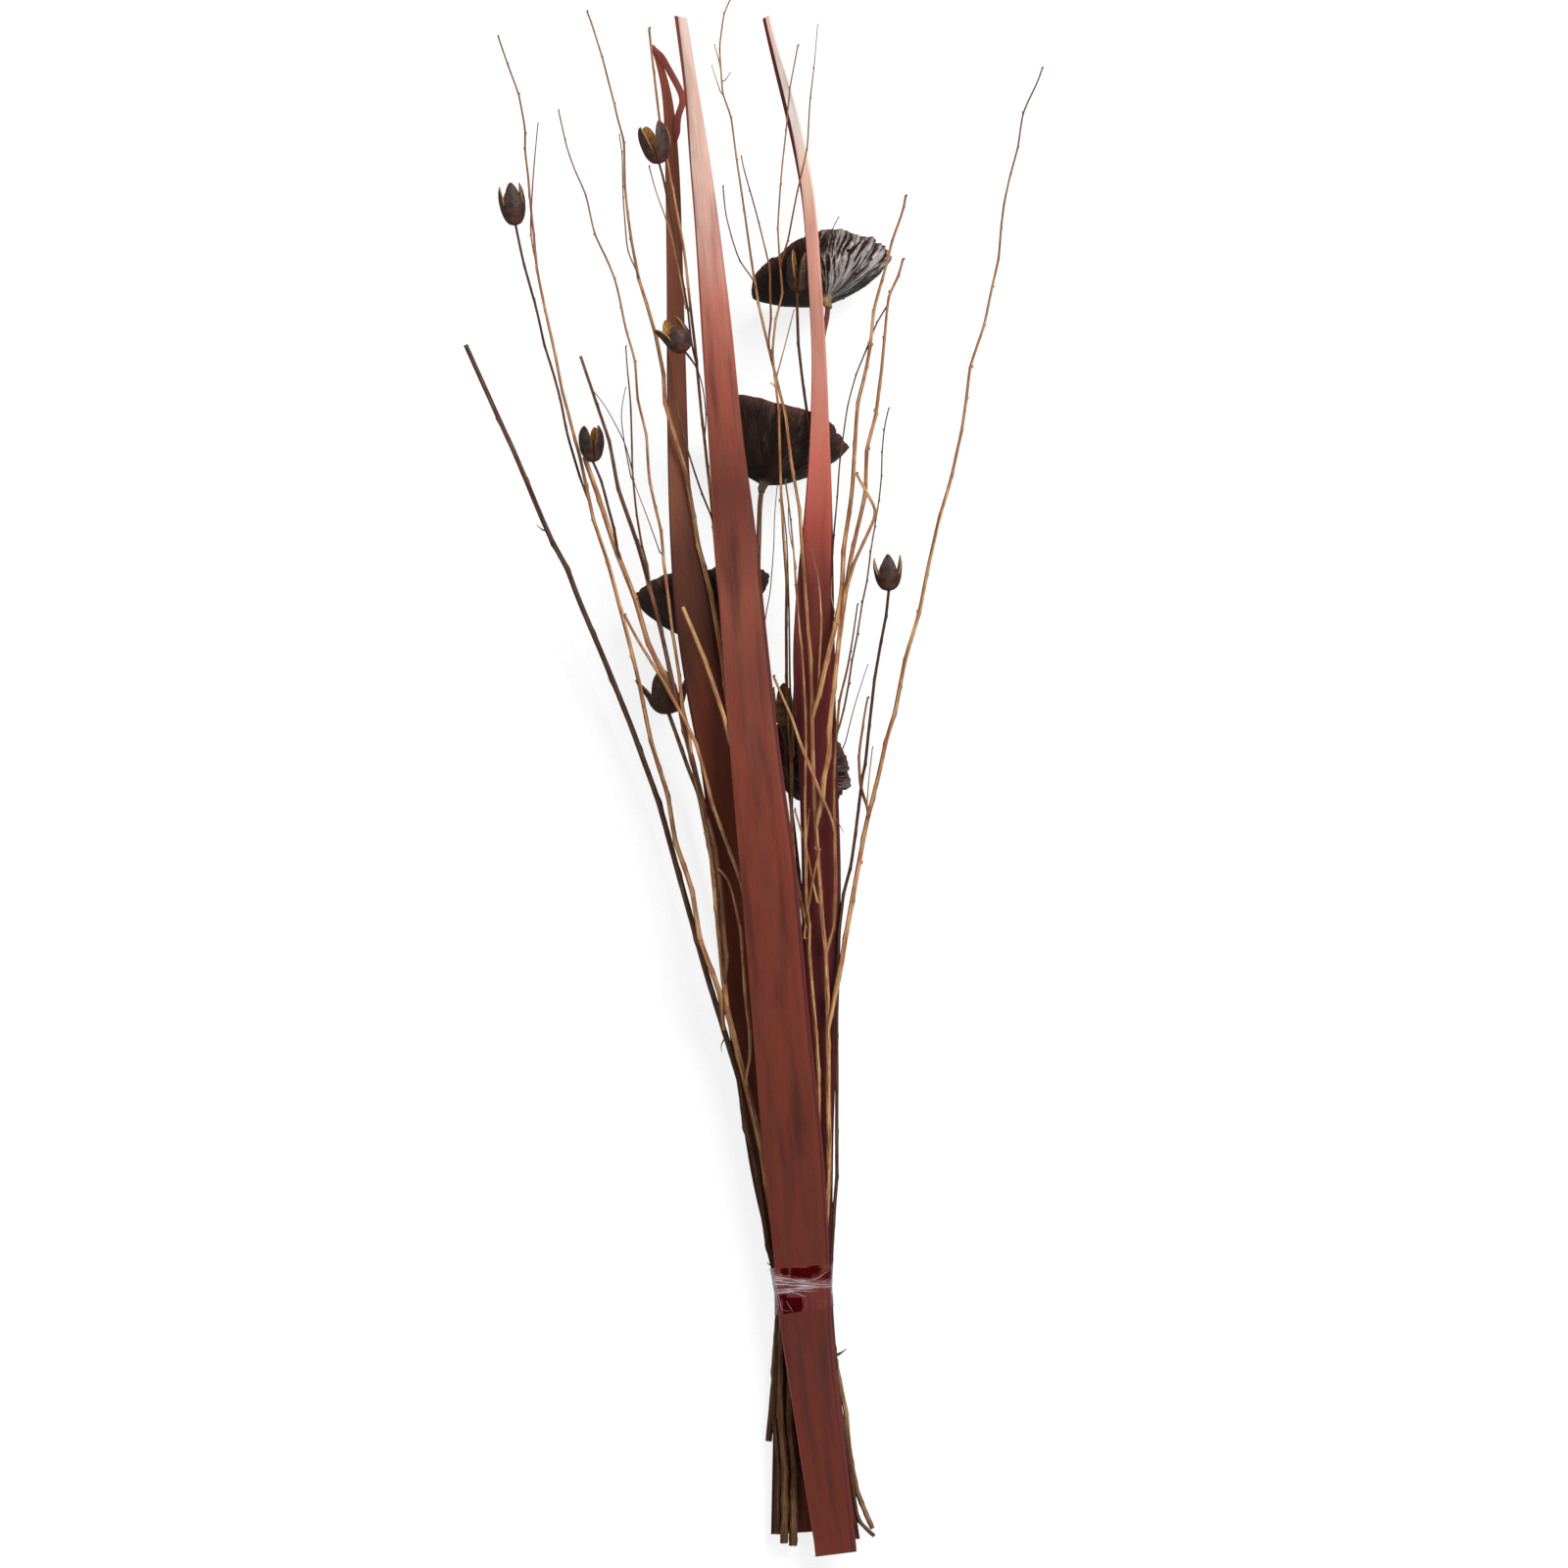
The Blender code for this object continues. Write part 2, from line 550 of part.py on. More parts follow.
TWIGS = [
    # name, parent, base and tip radius, tip height, colour, route
    ("twig_left_long", "twig_left_dark", 2.1, 0.6, 85, TWIG_TAN, [
        (-62, 211), (-65, 239), (-78, 273), (-84, 312), (-97, 349), (-103, 386), (-116, 427),
        (-125, 473), (-137, 521), (-149, 565), (-160, 598), (-171, 649), (-184, 696), (-189, 724),
        (-198, 762), (-204, 793), (-207, 823), (-211, 867), (-214, 886), (-212, 896), (-218, 927),
        (-234, 972)]),
    ("twig_left_fork", "twig_left_long", 0.9, 0.5, 95, TWIG_TAN, [
        (-203, 797), (-208, 806), (-209, 823), (-206, 873), (-203, 904)]),
    ("twig_left_brown", "twig_left_main", 2.0, 1.4, 110, TWIG_DARK, [
        (-57, 242), (-59, 272), (-61, 306), (-66, 344), (-76, 382), (-84, 413), (-91, 443),
        (-97, 463), (-100, 477), (-108, 512), (-118, 551), (-125, 576), (-141, 622), (-148, 659),
        (-160, 695), (-170, 724)]),
    ("twig_left_golden", "twig_left_brown", 1.6, 0.6, 120, TWIG_TAN, [
        (-84, 420), (-91, 450), (-94, 478), (-99, 512), (-105, 559), (-108, 590), (-117, 628),
        (-119, 663), (-126, 691), (-128, 721), (-136, 749), (-143, 784), (-159, 818), (-166, 849),
        (-179, 879), (-187, 914)]),
    ("twig_left_cross", "twig_centre_main", 1.6, 1.2, 110, TWIG_TAN, [
        (-27, 258), (-47, 321), (-68, 377), (-74, 401), (-81, 426), (-97, 457), (-111, 481), (-125, 503),
        (-136, 524)]),
    ("twig_left_thin", "twig_left_brown", 0.9, 0.5, 120, TWIG_DARK, [
        (-116, 547), (-122, 575), (-127, 603), (-130, 637), (-131, 686), (-134, 714), (-135, 732)]),
    ("twig_loop", "twig_left_main", 1.5, 1.1, 60, TWIG_TAN, [
        (-41, 164), (-39, 182), (-39, 202), (-43, 230), (-46, 280), (-54, 315), (-59, 326), (-64, 328)]),
    ("twig_centre_strand", "twig_centre_main", 0.7, 0.5, 125, TWIG_TAN, [
        (-125, 786), (-134, 805), (-137, 847), (-138, 881), (-140, 895)]),
    ("twig_centre_long", "twig_centre_main", 1.4, 1.0, 135, TWIG_TAN, [
        (-57, 477), (-63, 546), (-70, 622), (-77, 682), (-81, 728), (-85, 760), (-90, 808), (-97, 842),
        (-103, 873), (-109, 907), (-114, 948), (-117, 977)]),
    ("twig_centre_red", "twig_centre_long", 0.9, 0.6, 125, TWIG_DARK, [
        (-70, 599), (-78, 623), (-90, 660), (-98, 698), (-103, 728)]),
    ("twig_cut_short", "twig_centre_main", 2.0, 1.8, 120, TWIG_TAN, [
        (-49, 416), (-57, 440), (-63, 457), (-75, 492), (-91, 530)]),
    ("twig_fork_right", "twig_right_main", 1.0, 0.5, 145, TWIG_TAN, [
        (-25, 734), (-23, 756), (-24, 792), (-33, 830), (-43, 864), (-46, 878)]),
    ("twig_centre_whip", "twig_right_main", 0.7, 0.5, 145, TWIG_TAN, [
        (-37, 778), (-48, 799), (-54, 817), (-58, 834), (-60, 855)]),
    ("twig_right_whip", "twig_right_inner", 0.8, 0.4, 160, TWIG_TAN, [
        (-15, 794), (-7, 828), (-1, 857), (5, 884), (7, 918), (11, 955), (13, 979)]),
    ("twig_right_slim", "twig_right_inner", 1.5, 0.7, 125, TWIG_TAN, [
        (7, 268), (5, 295), (4, 318), (3.5, 356), (3.5, 391), (4, 451), (2, 482), (-1, 512), (-5, 568),
        (-9, 607), (-12, 629)]),
    ("twig_bow", "twig_right_main", 1.3, 0.9, 125, TWIG_TAN, [
        (13, 445), (14, 473), (15, 497), (16, 522), (14, 553), (8, 575)]),
    ("twig_right_golden", "twig_right_main", 2.0, 0.8, 125, TWIG_TAN, [
        (12, 447), (16, 470), (21, 492), (28, 521), (32, 543), (33, 575), (38, 606), (40, 623),
        (42, 660), (44, 688), (49, 707), (54, 732), (56, 759), (65, 789), (68, 802), (70, 812),
        (80, 838), (81, 848)]),
    ("twig_right_long", "twig_right_main", 2.1, 0.9, 120, TWIG_TAN, [
        (14, 363), (18, 399), (22, 416), (22, 435), (27, 482), (30, 508), (38, 565), (43, 587), (50, 618),
        (51, 652), (58, 679), (62, 708), (65, 743), (68, 772), (75, 784), (79, 799)]),
    ("twig_right_edge", "twig_right_main", 1.9, 0.6, 105, TWIG_TAN, [
        (21, 264), (26, 293), (27, 318), (26, 356), (25.5, 394), (27, 426), (30, 458), (36, 482),
        (41, 512), (44, 533)]),
    ("twig_right_thorny", "twig_right_edge", 1.0, 0.5, 130, TWIG_DARK, [
        (28, 433), (36, 466), (44, 512), (52, 556), (57, 593), (61, 613), (63, 646), (64, 668),
        (68, 684)]),
    ("twig_broken", "twig_right_long", 1.4, 1.2, 135, TWIG_TAN, [
        (35, 546), (41, 564), (52, 587), (59, 604), (50, 620), (43, 633)]),
    ("twig_slanting", "twig_right_edge", 1.5, 1.0, 110, TWIG_TAN, [
        (23, 359), (20, 374), (12, 395), (-1, 427), (-7, 445), (-18, 470), (-21, 477)]),
    ("twig_far_right", "twig_right_main", 2.1, 0.6, 75, TWIG_TAN, [
        (23, 207), (26, 228), (31, 252), (37, 288), (43, 321), (50, 359), (53, 372), (62, 407),
        (66, 427), (73, 449), (81, 491), (92, 526), (98, 559), (107, 598), (115, 625), (125, 668),
        (131, 716), (142, 749), (153, 800), (157, 843), (168, 887), (172, 913), (185, 940),
        (187, 948)]),
    ("twig_far_fork", "twig_far_right", 1.5, 0.9, 95, TWIG_TAN, [
        (51, 374), (46, 389), (45, 416), (49, 447), (52, 461)]),
]

for name, parent, base, tip, tip_height, colour, route in TWIGS:
    add_twig(name, route, base, tip, tip_height, parent, colour)

add_capsule_on_stalk(1, [
    (-164, 611), (-169, 625), (-180, 663), (-185, 688), (-191, 711), (-198, 733), (-203, 756),
    (-209, 778), (-215, 801), (-220, 825),
], (-225, 858), 10.5, 0.4, 0.85, 1.0, 1.0, 110, "twig_left_long")
add_capsule_on_stalk(2, [(-80, 717), (-87, 760), (-94, 800), (-102, 841), (-106, 862), (-109, 872)],
                     (-115, 905), 12, 0.6, 1.0, 1.0, 1.0, 140, "twig_centre_long")
add_capsule_on_stalk(3, [(-72, 660), (-75, 698), (-79, 714), (-84, 722), (-89, 727)],
                     (-103, 752), 10.5, 0.5, 1.05, 1.0, 1.0, 138, "twig_centre_long")
add_capsule_on_stalk(4, [(-141, 572), (-142, 584), (-147, 601), (-154, 629), (-160, 642)],
                     (-163, 671), 10, 0.45, 0.95, 1.2, 1.0, 130, "twig_left_main")

add_leaf("leaf_blade_front", [
    (-201, 11.5, 43.5, 0), (-136, 1, 37, 0), (-80, -7.5, 29.5, 0), (-25, -16.5, 23.5, 0),
    (30, -21, 22.5, 0), (109, -29.5, 18, 0), (218, -38, 6, 0), (330, -47, -3, 0), (410, -54, -15, 0),
    (508, -61, -26, 0), (587, -67, -34, 0), (663, -71.5, -45, 0), (747, -77, -53, 0),
    (823, -81.5, -62.5, 0), (881, -86.5, -70.5, 0), (924, -89, -78, 0), (986, -97.5, -88, 0),
], 1.0, 150, 550, LEAF_RED)


# The tie: clear film drawn round the outermost stems and leaves.

def film_outline(clearance):
    """Corners of the band's section: where its straight runs against the stems meet."""
    places = np.array(tie_samples)
    limits = []
    for step in range(TIE_DIRECTIONS):
        turn = 2 * math.pi * step / TIE_DIRECTIONS
        reach = places[:, 0] * math.cos(turn) + places[:, 1] * math.sin(turn) + places[:, 2]
        limits.append((turn, reach.max() + clearance))
    corners = []
    for (turn, far), (next_turn, next_far) in zip(limits, limits[1:] + limits[:1]):
        spread = math.sin(next_turn - turn)
        corners.append((
            (far * math.sin(next_turn) - next_far * math.sin(turn)) / spread,
            (next_far * math.cos(turn) - far * math.cos(next_turn)) / spread,
        ))
    return corners


def add_tie():
    inner = film_outline(GAP)
    outer = film_outline(GAP + TIE_FILM)
    rings = []
    for outline, end in ((outer, -1), (outer, 1), (inner, 1), (inner, -1)):
        ring = []
        for x, z in outline:
            ring.append(Vector((x, end * TIE_LENGTH / 2 - TIE_SLANT * x / 25, z)))
        rings.append(ring)
    count = TIE_DIRECTIONS
    vertices = [tuple(point) for ring in rings for point in ring]
    faces = []
    for level in range(4):
        low, high = level * count, (level + 1) % 4 * count
        for side in range(count):
            after = (side + 1) % count
            faces.append((low + side, low + after, high + after, high + side))
    finish_object("tie_film", vertices, faces, FILM_CLEAR, 0.1)


add_tie()


def centre_on_footprint():
    """Moves every mesh so that the bunch's box stands on the floor with its middle at the origin."""
    meshes = [piece.data for piece in bpy.context.scene.collection.objects]
    corners = np.array([vertex.co for mesh in meshes for vertex in mesh.vertices])
    low, high = corners.min(axis=0), corners.max(axis=0)
    shift = Matrix.Translation((-(low[0] + high[0]) / 2, -(low[1] + high[1]) / 2, -low[2]))
    for mesh in meshes:
        mesh.transform(shift)


centre_on_footprint()
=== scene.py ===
"""A long bunch of dried lotus pods, seed capsules, twigs and leaf blades, tied with clear film."""

import math

import bmesh
import bpy
import numpy as np
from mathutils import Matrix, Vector, noise


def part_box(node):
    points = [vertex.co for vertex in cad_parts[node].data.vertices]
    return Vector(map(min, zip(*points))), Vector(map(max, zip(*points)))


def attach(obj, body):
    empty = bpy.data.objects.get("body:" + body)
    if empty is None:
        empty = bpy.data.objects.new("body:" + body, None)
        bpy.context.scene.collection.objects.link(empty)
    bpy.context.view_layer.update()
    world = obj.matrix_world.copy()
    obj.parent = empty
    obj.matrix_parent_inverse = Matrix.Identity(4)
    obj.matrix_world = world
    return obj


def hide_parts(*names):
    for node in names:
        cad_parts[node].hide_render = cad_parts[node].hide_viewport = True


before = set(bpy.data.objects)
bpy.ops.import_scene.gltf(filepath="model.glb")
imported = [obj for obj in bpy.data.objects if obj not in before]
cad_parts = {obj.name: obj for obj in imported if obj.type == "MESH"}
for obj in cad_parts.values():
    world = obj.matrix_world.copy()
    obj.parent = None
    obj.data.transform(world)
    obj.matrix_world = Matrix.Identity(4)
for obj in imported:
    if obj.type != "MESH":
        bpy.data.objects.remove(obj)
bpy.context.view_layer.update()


# ------------------------------------------------------------------------------------------------
# LOTUS STEMS
# Four dried lotus stalks, each from its cut end through the tie up to its pod. The stalk has dried
# to a dark brown rind, ribbed lengthwise and rough with the stubs of its prickles.

STEM_STEP = 0.002
STEM_SIDES = 12
STEM_EASE = 4
OVERSIZE = 1.06
SHARP_ANGLE = 55
END_MARGIN = 0.002
RIBS, RIB_DEPTH, RING_DEPTH = 5, 0.07, 0.03
PRICKLE_GAP = 0.024
PRICKLE_LONG, PRICKLE_THICK, PRICKLE_LEAN = 0.0011, 0.0004, 1.1
LOTUS_SPLINTERS = 7


def cuts(node, places):
    """Corner points of the cuts that planes square to Y make through a solid."""
    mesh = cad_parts[node].data
    points = np.array([vertex.co for vertex in mesh.vertices])
    edges = np.array([edge.vertices for edge in mesh.edges])
    first, second = points[edges[:, 0]], points[edges[:, 1]]
    for y in places:
        crossed = (first[:, 1] - y) * (second[:, 1] - y) < 0
        near, far = first[crossed], second[crossed]
        share = (y - near[:, 1]) / (far[:, 1] - near[:, 1])
        yield near + (far - near) * share[:, None]


def eased(line, reach):
    """A line of points with its corners rounded over this many steps."""
    spread = np.arange(-3 * reach, 3 * reach + 1)
    weights = np.exp(-0.5 * (spread / reach) ** 2)
    weights /= weights.sum()
    pad = 3 * reach
    before = 2 * line[0] - line[pad:0:-1]
    after = 2 * line[-1] - line[-2:-pad - 2:-1]
    padded = np.vstack([before, line, after])
    return np.column_stack([np.convolve(column, weights, "valid") for column in padded.T])


# How far the tie draws the stems beside it out of their straight run: (Y in m, mm), and each stem's
# share of it inward and upward.
TIE_PULL = ((-0.6, 1.2), (-0.52, 1.2), (-0.487, 2.5), (-0.461, 3.1), (-0.416, 5), (-0.385, 3.6),
            (-0.363, 0.8), (-0.25, 0))
TIE_SHARES = {"twig_left_dark": (1, 0), "twig_left_main": (0, 0.9), "capsule_stalk_5": (0.6, 0.25)}


def drawn_in(node, points):
    """Points of a stem, moved as the tie draws it in towards the others or up over its neighbour."""
    inward, upward = TIE_SHARES.get(node, (0, 0))
    pull = np.interp(points[:, 1], *np.array(TIE_PULL).T)[:, None] / 1000
    return points + pull * (inward, 0, upward)


def stem_line(node, ease=STEM_EASE):
    """Middle line and radii of a stem, from cuts across its solid, with its corners rounded."""
    low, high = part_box(node)
    count = max(12, round((high.y - low.y - 2 * END_MARGIN) / STEM_STEP))
    middle, thick = [], []
    for corners in cuts(node, np.linspace(low.y + END_MARGIN, high.y - END_MARGIN, count)):
        least, most = corners.min(axis=0), corners.max(axis=0)
        middle.append((least + most) / 2)
        thick.append((most - least)[[0, 2]].min() / 2)
    middle = drawn_in(node, np.array(middle))
    reach = 0.8 * END_MARGIN / STEM_STEP
    start = middle[0] - (middle[1] - middle[0]) * reach
    stop = middle[-1] + (middle[-1] - middle[-2]) * reach
    middle = np.vstack([start, middle, stop])
    taper = np.polyfit(np.arange(count), thick, 1)
    return eased(middle, min(ease, count // 4)), np.polyval(taper, np.arange(-1, count + 1)) * OVERSIZE


def along_of(line):
    """How far along a line each of its points is."""
    return np.concatenate([[0], np.cumsum(np.linalg.norm(np.diff(line, axis=0), axis=1))])


def at_steps(route, steps):
    """The points at these distances along a route."""
    return np.column_stack([np.interp(steps, along_of(route), column) for column in route.T])


def square_to(ahead):
    """Two directions square to one direction or to each of many: a level one and an upward one."""
    level = np.cross(ahead, (0.0, 0.0, 1.0))
    level /= np.linalg.norm(level, axis=-1, keepdims=True)
    return level, np.cross(level, ahead)


def square_frames(line):
    """Directions along a line and, square to it, level and upward."""
    forward = np.gradient(line, axis=0)
    forward /= np.linalg.norm(forward, axis=1)[:, None]
    return forward, *square_to(forward)


def turns(count):
    """The angles of this many places evenly round a circle."""
    return 2 * math.pi * np.arange(count) / count


def circle_of(turn):
    """The place on a circle of radius 1 at each angle."""
    return np.column_stack([np.cos(turn), np.sin(turn)])


def set_down(name, data, place=(0, 0, 0)):
    """A new object in the scene, at its place."""
    thing = bpy.data.objects.new(name, data)
    thing.location = place
    bpy.context.scene.collection.objects.link(thing)
    return thing


class Growth:
    """The mesh of one grown piece while it is put together, with the values its finish reads.

    grain is the place on the piece as if it lay straight, and age runs from 0 at the oldest end to
    1 at the youngest. marks are three shares that a piece's finish colours in its own way.
    """

    def __init__(self):
        self.points, self.faces, self.grain, self.age, self.marks = [], [], [], [], []
        self.count = 0

    def skin(self, rings, grain, age, marks=(0, 0, 0), capped=True):
        """A skin through rings of equal count, with a cap on each end where it is capped."""
        levels, sides = rings.shape[:2]
        grid = self.count + np.arange(levels * sides).reshape(levels, sides)
        after = np.roll(grid, -1, axis=1)
        quads = np.stack([grid[:-1], after[:-1], after[1:], grid[1:]], axis=-1)
        self.faces += quads.reshape(-1, 4).tolist()
        if capped:
            self.faces += [grid[0][::-1].tolist(), grid[-1].tolist()]
        self.points.append(rings.reshape(-1, 3))
        self.grain.append(np.broadcast_to(grain, rings.shape).reshape(-1, 3))
        self.marks.append(np.broadcast_to(marks, rings.shape).reshape(-1, 3))
        age = np.asarray(age, float)
        self.age.append(np.broadcast_to(age[:, None] if age.ndim == 1 else age, (levels, sides)).ravel())
        self.count += levels * sides

    def tube(self, line, radii, sides, age, ripple=1.0, marks=(0, 0, 0)):
        """A round stem along a line. ripple scales the radius at each step and side."""
        _, level, upward = square_frames(line)
        turn = turns(sides)
        reach = radii[:, None] * ripple * np.ones(sides)
        rings = (line[:, None] + (reach * np.cos(turn))[..., None] * level[:, None]
                 + (reach * np.sin(turn))[..., None] * upward[:, None])
        grain = np.zeros(rings.shape)
        grain[..., :2] = float(np.mean(radii)) * circle_of(turn)
        grain[..., 2] = along_of(line)[:, None]
        self.skin(rings, grain, age, marks)

    def finish(self, name, material, slot, *nodes):
        """The finished piece, riding on the bunch in place of its solids."""
        mesh = bpy.data.meshes.new(name)
        mesh.from_pydata(np.vstack(self.points).tolist(), [], self.faces)
        for label, kind, key, values in (("grain", "FLOAT_VECTOR", "vector", np.vstack(self.grain)),
                                         ("marks", "FLOAT_VECTOR", "vector", np.vstack(self.marks)),
                                         ("age", "FLOAT", "value", np.concatenate(self.age))):
            layer = mesh.attributes.new(label, kind, "POINT")
            layer.data.foreach_set(key, values.astype(np.float32).ravel())
        outside = bmesh.new()
        outside.from_mesh(mesh)
        bmesh.ops.recalc_face_normals(outside, faces=outside.faces)
        outside.to_mesh(mesh)
        outside.free()
        mesh.shade_smooth()
        mesh.set_sharp_from_angle(angle=math.radians(SHARP_ANGLE))
        mesh.materials.append(material)
        piece = set_down(name, mesh)
        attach(piece, "root")
        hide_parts(*nodes)


def put(tree, kind, values=(), **settings):
    """A shader node with its settings, and its inputs set or linked by name or number."""
    node = tree.nodes.new(kind)
    for key, value in settings.items():
        setattr(node, key, value)
    for key, value in dict(values).items():
        if isinstance(value, bpy.types.NodeSocket):
            tree.links.new(value, node.inputs[key])
        else:
            node.inputs[key].default_value = value
    return node


def ranged(tree, value, low, high, least=0.0, most=1.0):
    """A value eased from least to most while it goes from low to high."""
    limits = {"Value": value, "From Min": low, "From Max": high, "To Min": least, "To Max": most}
    return put(tree, "ShaderNodeMapRange", limits, interpolation_type="SMOOTHSTEP").outputs["Result"]


def toned(colour, share):
    """A colour made darker or lighter, by one share or by one for each of its parts."""
    return tuple(np.multiply(colour, share).tolist())


def fibres_group():
    """Fine fibres that run along a piece, and broad stains over them, each from 0 to 1."""
    group = bpy.data.node_groups.new("dry fibres", "ShaderNodeTree")
    for label in ("Grain", "Fibres", "Stretch", "Stains"):
        kind = "NodeSocketVector" if label == "Grain" else "NodeSocketFloat"
        group.interface.new_socket(label, in_out="INPUT", socket_type=kind)
    for label in ("Fibre", "Stain"):
        group.interface.new_socket(label, in_out="OUTPUT", socket_type="NodeSocketFloat")
    given, out = group.nodes.new("NodeGroupInput"), group.nodes.new("NodeGroupOutput")
    grain = given.outputs["Grain"]
    stretch = put(group, "ShaderNodeCombineXYZ", {"X": 1.0, "Y": 1.0, "Z": given.outputs["Stretch"]})
    drawn = put(group, "ShaderNodeVectorMath", {0: grain, 1: stretch.outputs[0]}, operation="MULTIPLY")
    fibre = put(group, "ShaderNodeTexNoise", {"Vector": drawn.outputs[0], "Scale": given.outputs["Fibres"],
                                              "Detail": 4.0, "Roughness": 0.6})
    stain = put(group, "ShaderNodeTexNoise", {"Vector": grain, "Scale": given.outputs["Stains"],
                                              "Detail": 3.0, "Roughness": 0.55})
    group.links.new(ranged(group, fibre.outputs["Fac"], 0.33, 0.67), out.inputs["Fibre"])
    group.links.new(ranged(group, stain.outputs["Fac"], 0.32, 0.68), out.inputs["Stain"])
    return group


dry_fibres = fibres_group()


class Finish:
    """A new material, its shader, the piece's own values, and its fibres and stains."""

    def __init__(self, name, roughness, specular, fibres=1500.0, stretch=0.04, stains=60.0):
        self.material = bpy.data.materials.new(name)
        self.material.use_nodes = True
        self.tree = self.material.node_tree
        self.surface = self.tree.nodes["Principled BSDF"]
        self.surface.inputs["Roughness"].default_value = roughness
        self.surface.inputs["Specular IOR Level"].default_value = specular
        self.grain = put(self.tree, "ShaderNodeAttribute", attribute_name="grain").outputs["Vector"]
        self.age = put(self.tree, "ShaderNodeAttribute", attribute_name="age").outputs["Fac"]
        marks = put(self.tree, "ShaderNodeAttribute", attribute_name="marks").outputs["Vector"]
        self.marks = put(self.tree, "ShaderNodeSeparateXYZ", {"Vector": marks}).outputs
        given = {"Grain": self.grain, "Fibres": fibres, "Stretch": stretch, "Stains": stains}
        noises = put(self.tree, "ShaderNodeGroup", given, node_tree=dry_fibres)
        self.fibre, self.stain = noises.outputs["Fibre"], noises.outputs["Stain"]

    def mix(self, share, first, second, mode="MIX"):
        """Two colours blended by a share."""
        first, second = ((*part, 1) if isinstance(part, tuple) else part for part in (first, second))
        blend = put(self.tree, "ShaderNodeMix", data_type="RGBA", blend_type=mode,
                    values={0: share, 6: first, 7: second})
        return blend.outputs[2]

    def range(self, value, *limits):
        return ranged(self.tree, value, *limits)

    def fade(self, colour, other, value, *limits):
        """A colour that fades into another while a value goes through its range."""
        return self.mix(self.range(value, *limits), colour, other)

    def wear(self, colour, height, distance, dull=None):
        """Gives the shader its colour, its raised grain and, where it varies, its roughness."""
        self.tree.links.new(colour, self.surface.inputs["Base Color"])
        bump = put(self.tree, "ShaderNodeBump", {"Height": height, "Distance": distance})
        self.tree.links.new(bump.outputs["Normal"], self.surface.inputs["Normal"])
        if dull is not None:
            self.tree.links.new(dull, self.surface.inputs["Roughness"])
        return self.material


CUT_WOOD = (0.5, 0.34, 0.19)
BUD_SIDES = 6
BUD_SHAPE = (0.9, 1.15, 1.2, 1.05, 0.8, 0.5, 0.12)
SPLINTER_SHAPE = (0.14, 0.12, 0.09, 0.03)
SPLINTER_LEAST, SPLINTER_MORE = 0.0008, 0.0022


def bark(name, light, dark, old, young, roughness=0.5, fibres=900.0):
    """Dry bark with light and dark fibres and broad stains.

    It is weathered at the old end and darker where it is young and thin. The marks are pale wood,
    where the stem was cut, and the dark rings round its knots.
    """
    finish = Finish(name, roughness, 0.18, fibres)
    streaked = finish.mix(finish.fibre, dark, light)
    reddish = toned(light, (0.55, 0.33, 0.4))
    stained = finish.fade(streaked, reddish, finish.stain, 0.45, 1, 0, 0.85)
    weathered = finish.mix(finish.fibre, toned(old, 0.3), old)
    aged = finish.fade(stained, weathered, finish.age, 0.03, 0.11, 0.85, 0)
    fresh = finish.fade(aged, young, finish.age, 0.58, 0.92)
    ringed = finish.fade(fresh, toned(dark, 0.6), finish.marks["Y"], 0.2, 1, 0, 0.7)
    cut = finish.mix(finish.marks["X"], ringed, CUT_WOOD)
    dull = finish.range(finish.stain, 0, 1, roughness, roughness + 0.2)
    return finish.wear(cut, finish.fibre, 0.0004, dull)


def place_at(line, place):
    """The point at a distance along a line, with the directions there."""
    along = along_of(line)
    return [np.array([np.interp(place, along, part[:, axis]) for axis in range(3)])
            for part in (line, *square_frames(line))]


def add_bud(growth, line, radii, place, side, length, thick, lean, age):
    """A scaly bud, prickle or thorn on the side of a stem, leaning towards the stem's tip."""
    centre, ahead, across, up = place_at(line, place)
    outward = math.cos(side) * across + math.sin(side) * up
    heading = ahead * math.cos(lean) + outward * math.sin(lean)
    foot = centre + outward * float(np.interp(place, along_of(line), radii)) * 0.6
    steps = np.linspace(0, 1, len(BUD_SHAPE))[:, None]
    path = foot + heading * length * steps + outward * 0.1 * length * steps ** 2
    growth.tube(path, thick * np.array(BUD_SHAPE), BUD_SIDES, np.full(len(BUD_SHAPE), age))


def cut_face(growth, centre, ahead, radius, chance, fibres, age=0.0):
    """The flat cut end of a stem, with a few torn fibres standing out of it."""
    level, upward = square_to(ahead)
    path = centre + ahead * np.array([[-0.0008], [0.00015]])
    growth.tube(path, np.full(2, radius * 0.9), 10, np.full(2, age), marks=(1, 0, 0))
    for _ in range(fibres):
        turn, out = chance.random() * 2 * math.pi, chance.random() ** 0.5 * radius * 0.8
        aside = math.cos(turn) * level + math.sin(turn) * upward
        reach = SPLINTER_LEAST + SPLINTER_MORE * chance.random()
        path = centre + aside * out + (ahead + 0.3 * aside) * reach * np.linspace(-0.6, 1, 4)[:, None]
        growth.tube(path, radius * np.array(SPLINTER_SHAPE), 4, np.full(4, age), marks=(0.7, 0, 0))


lotus_rind = bark("lotus stalk rind", (0.3, 0.15, 0.07), (0.07, 0.03, 0.015), (0.2, 0.1, 0.05),
                  (0.13, 0.06, 0.03), 0.6, 800.0)

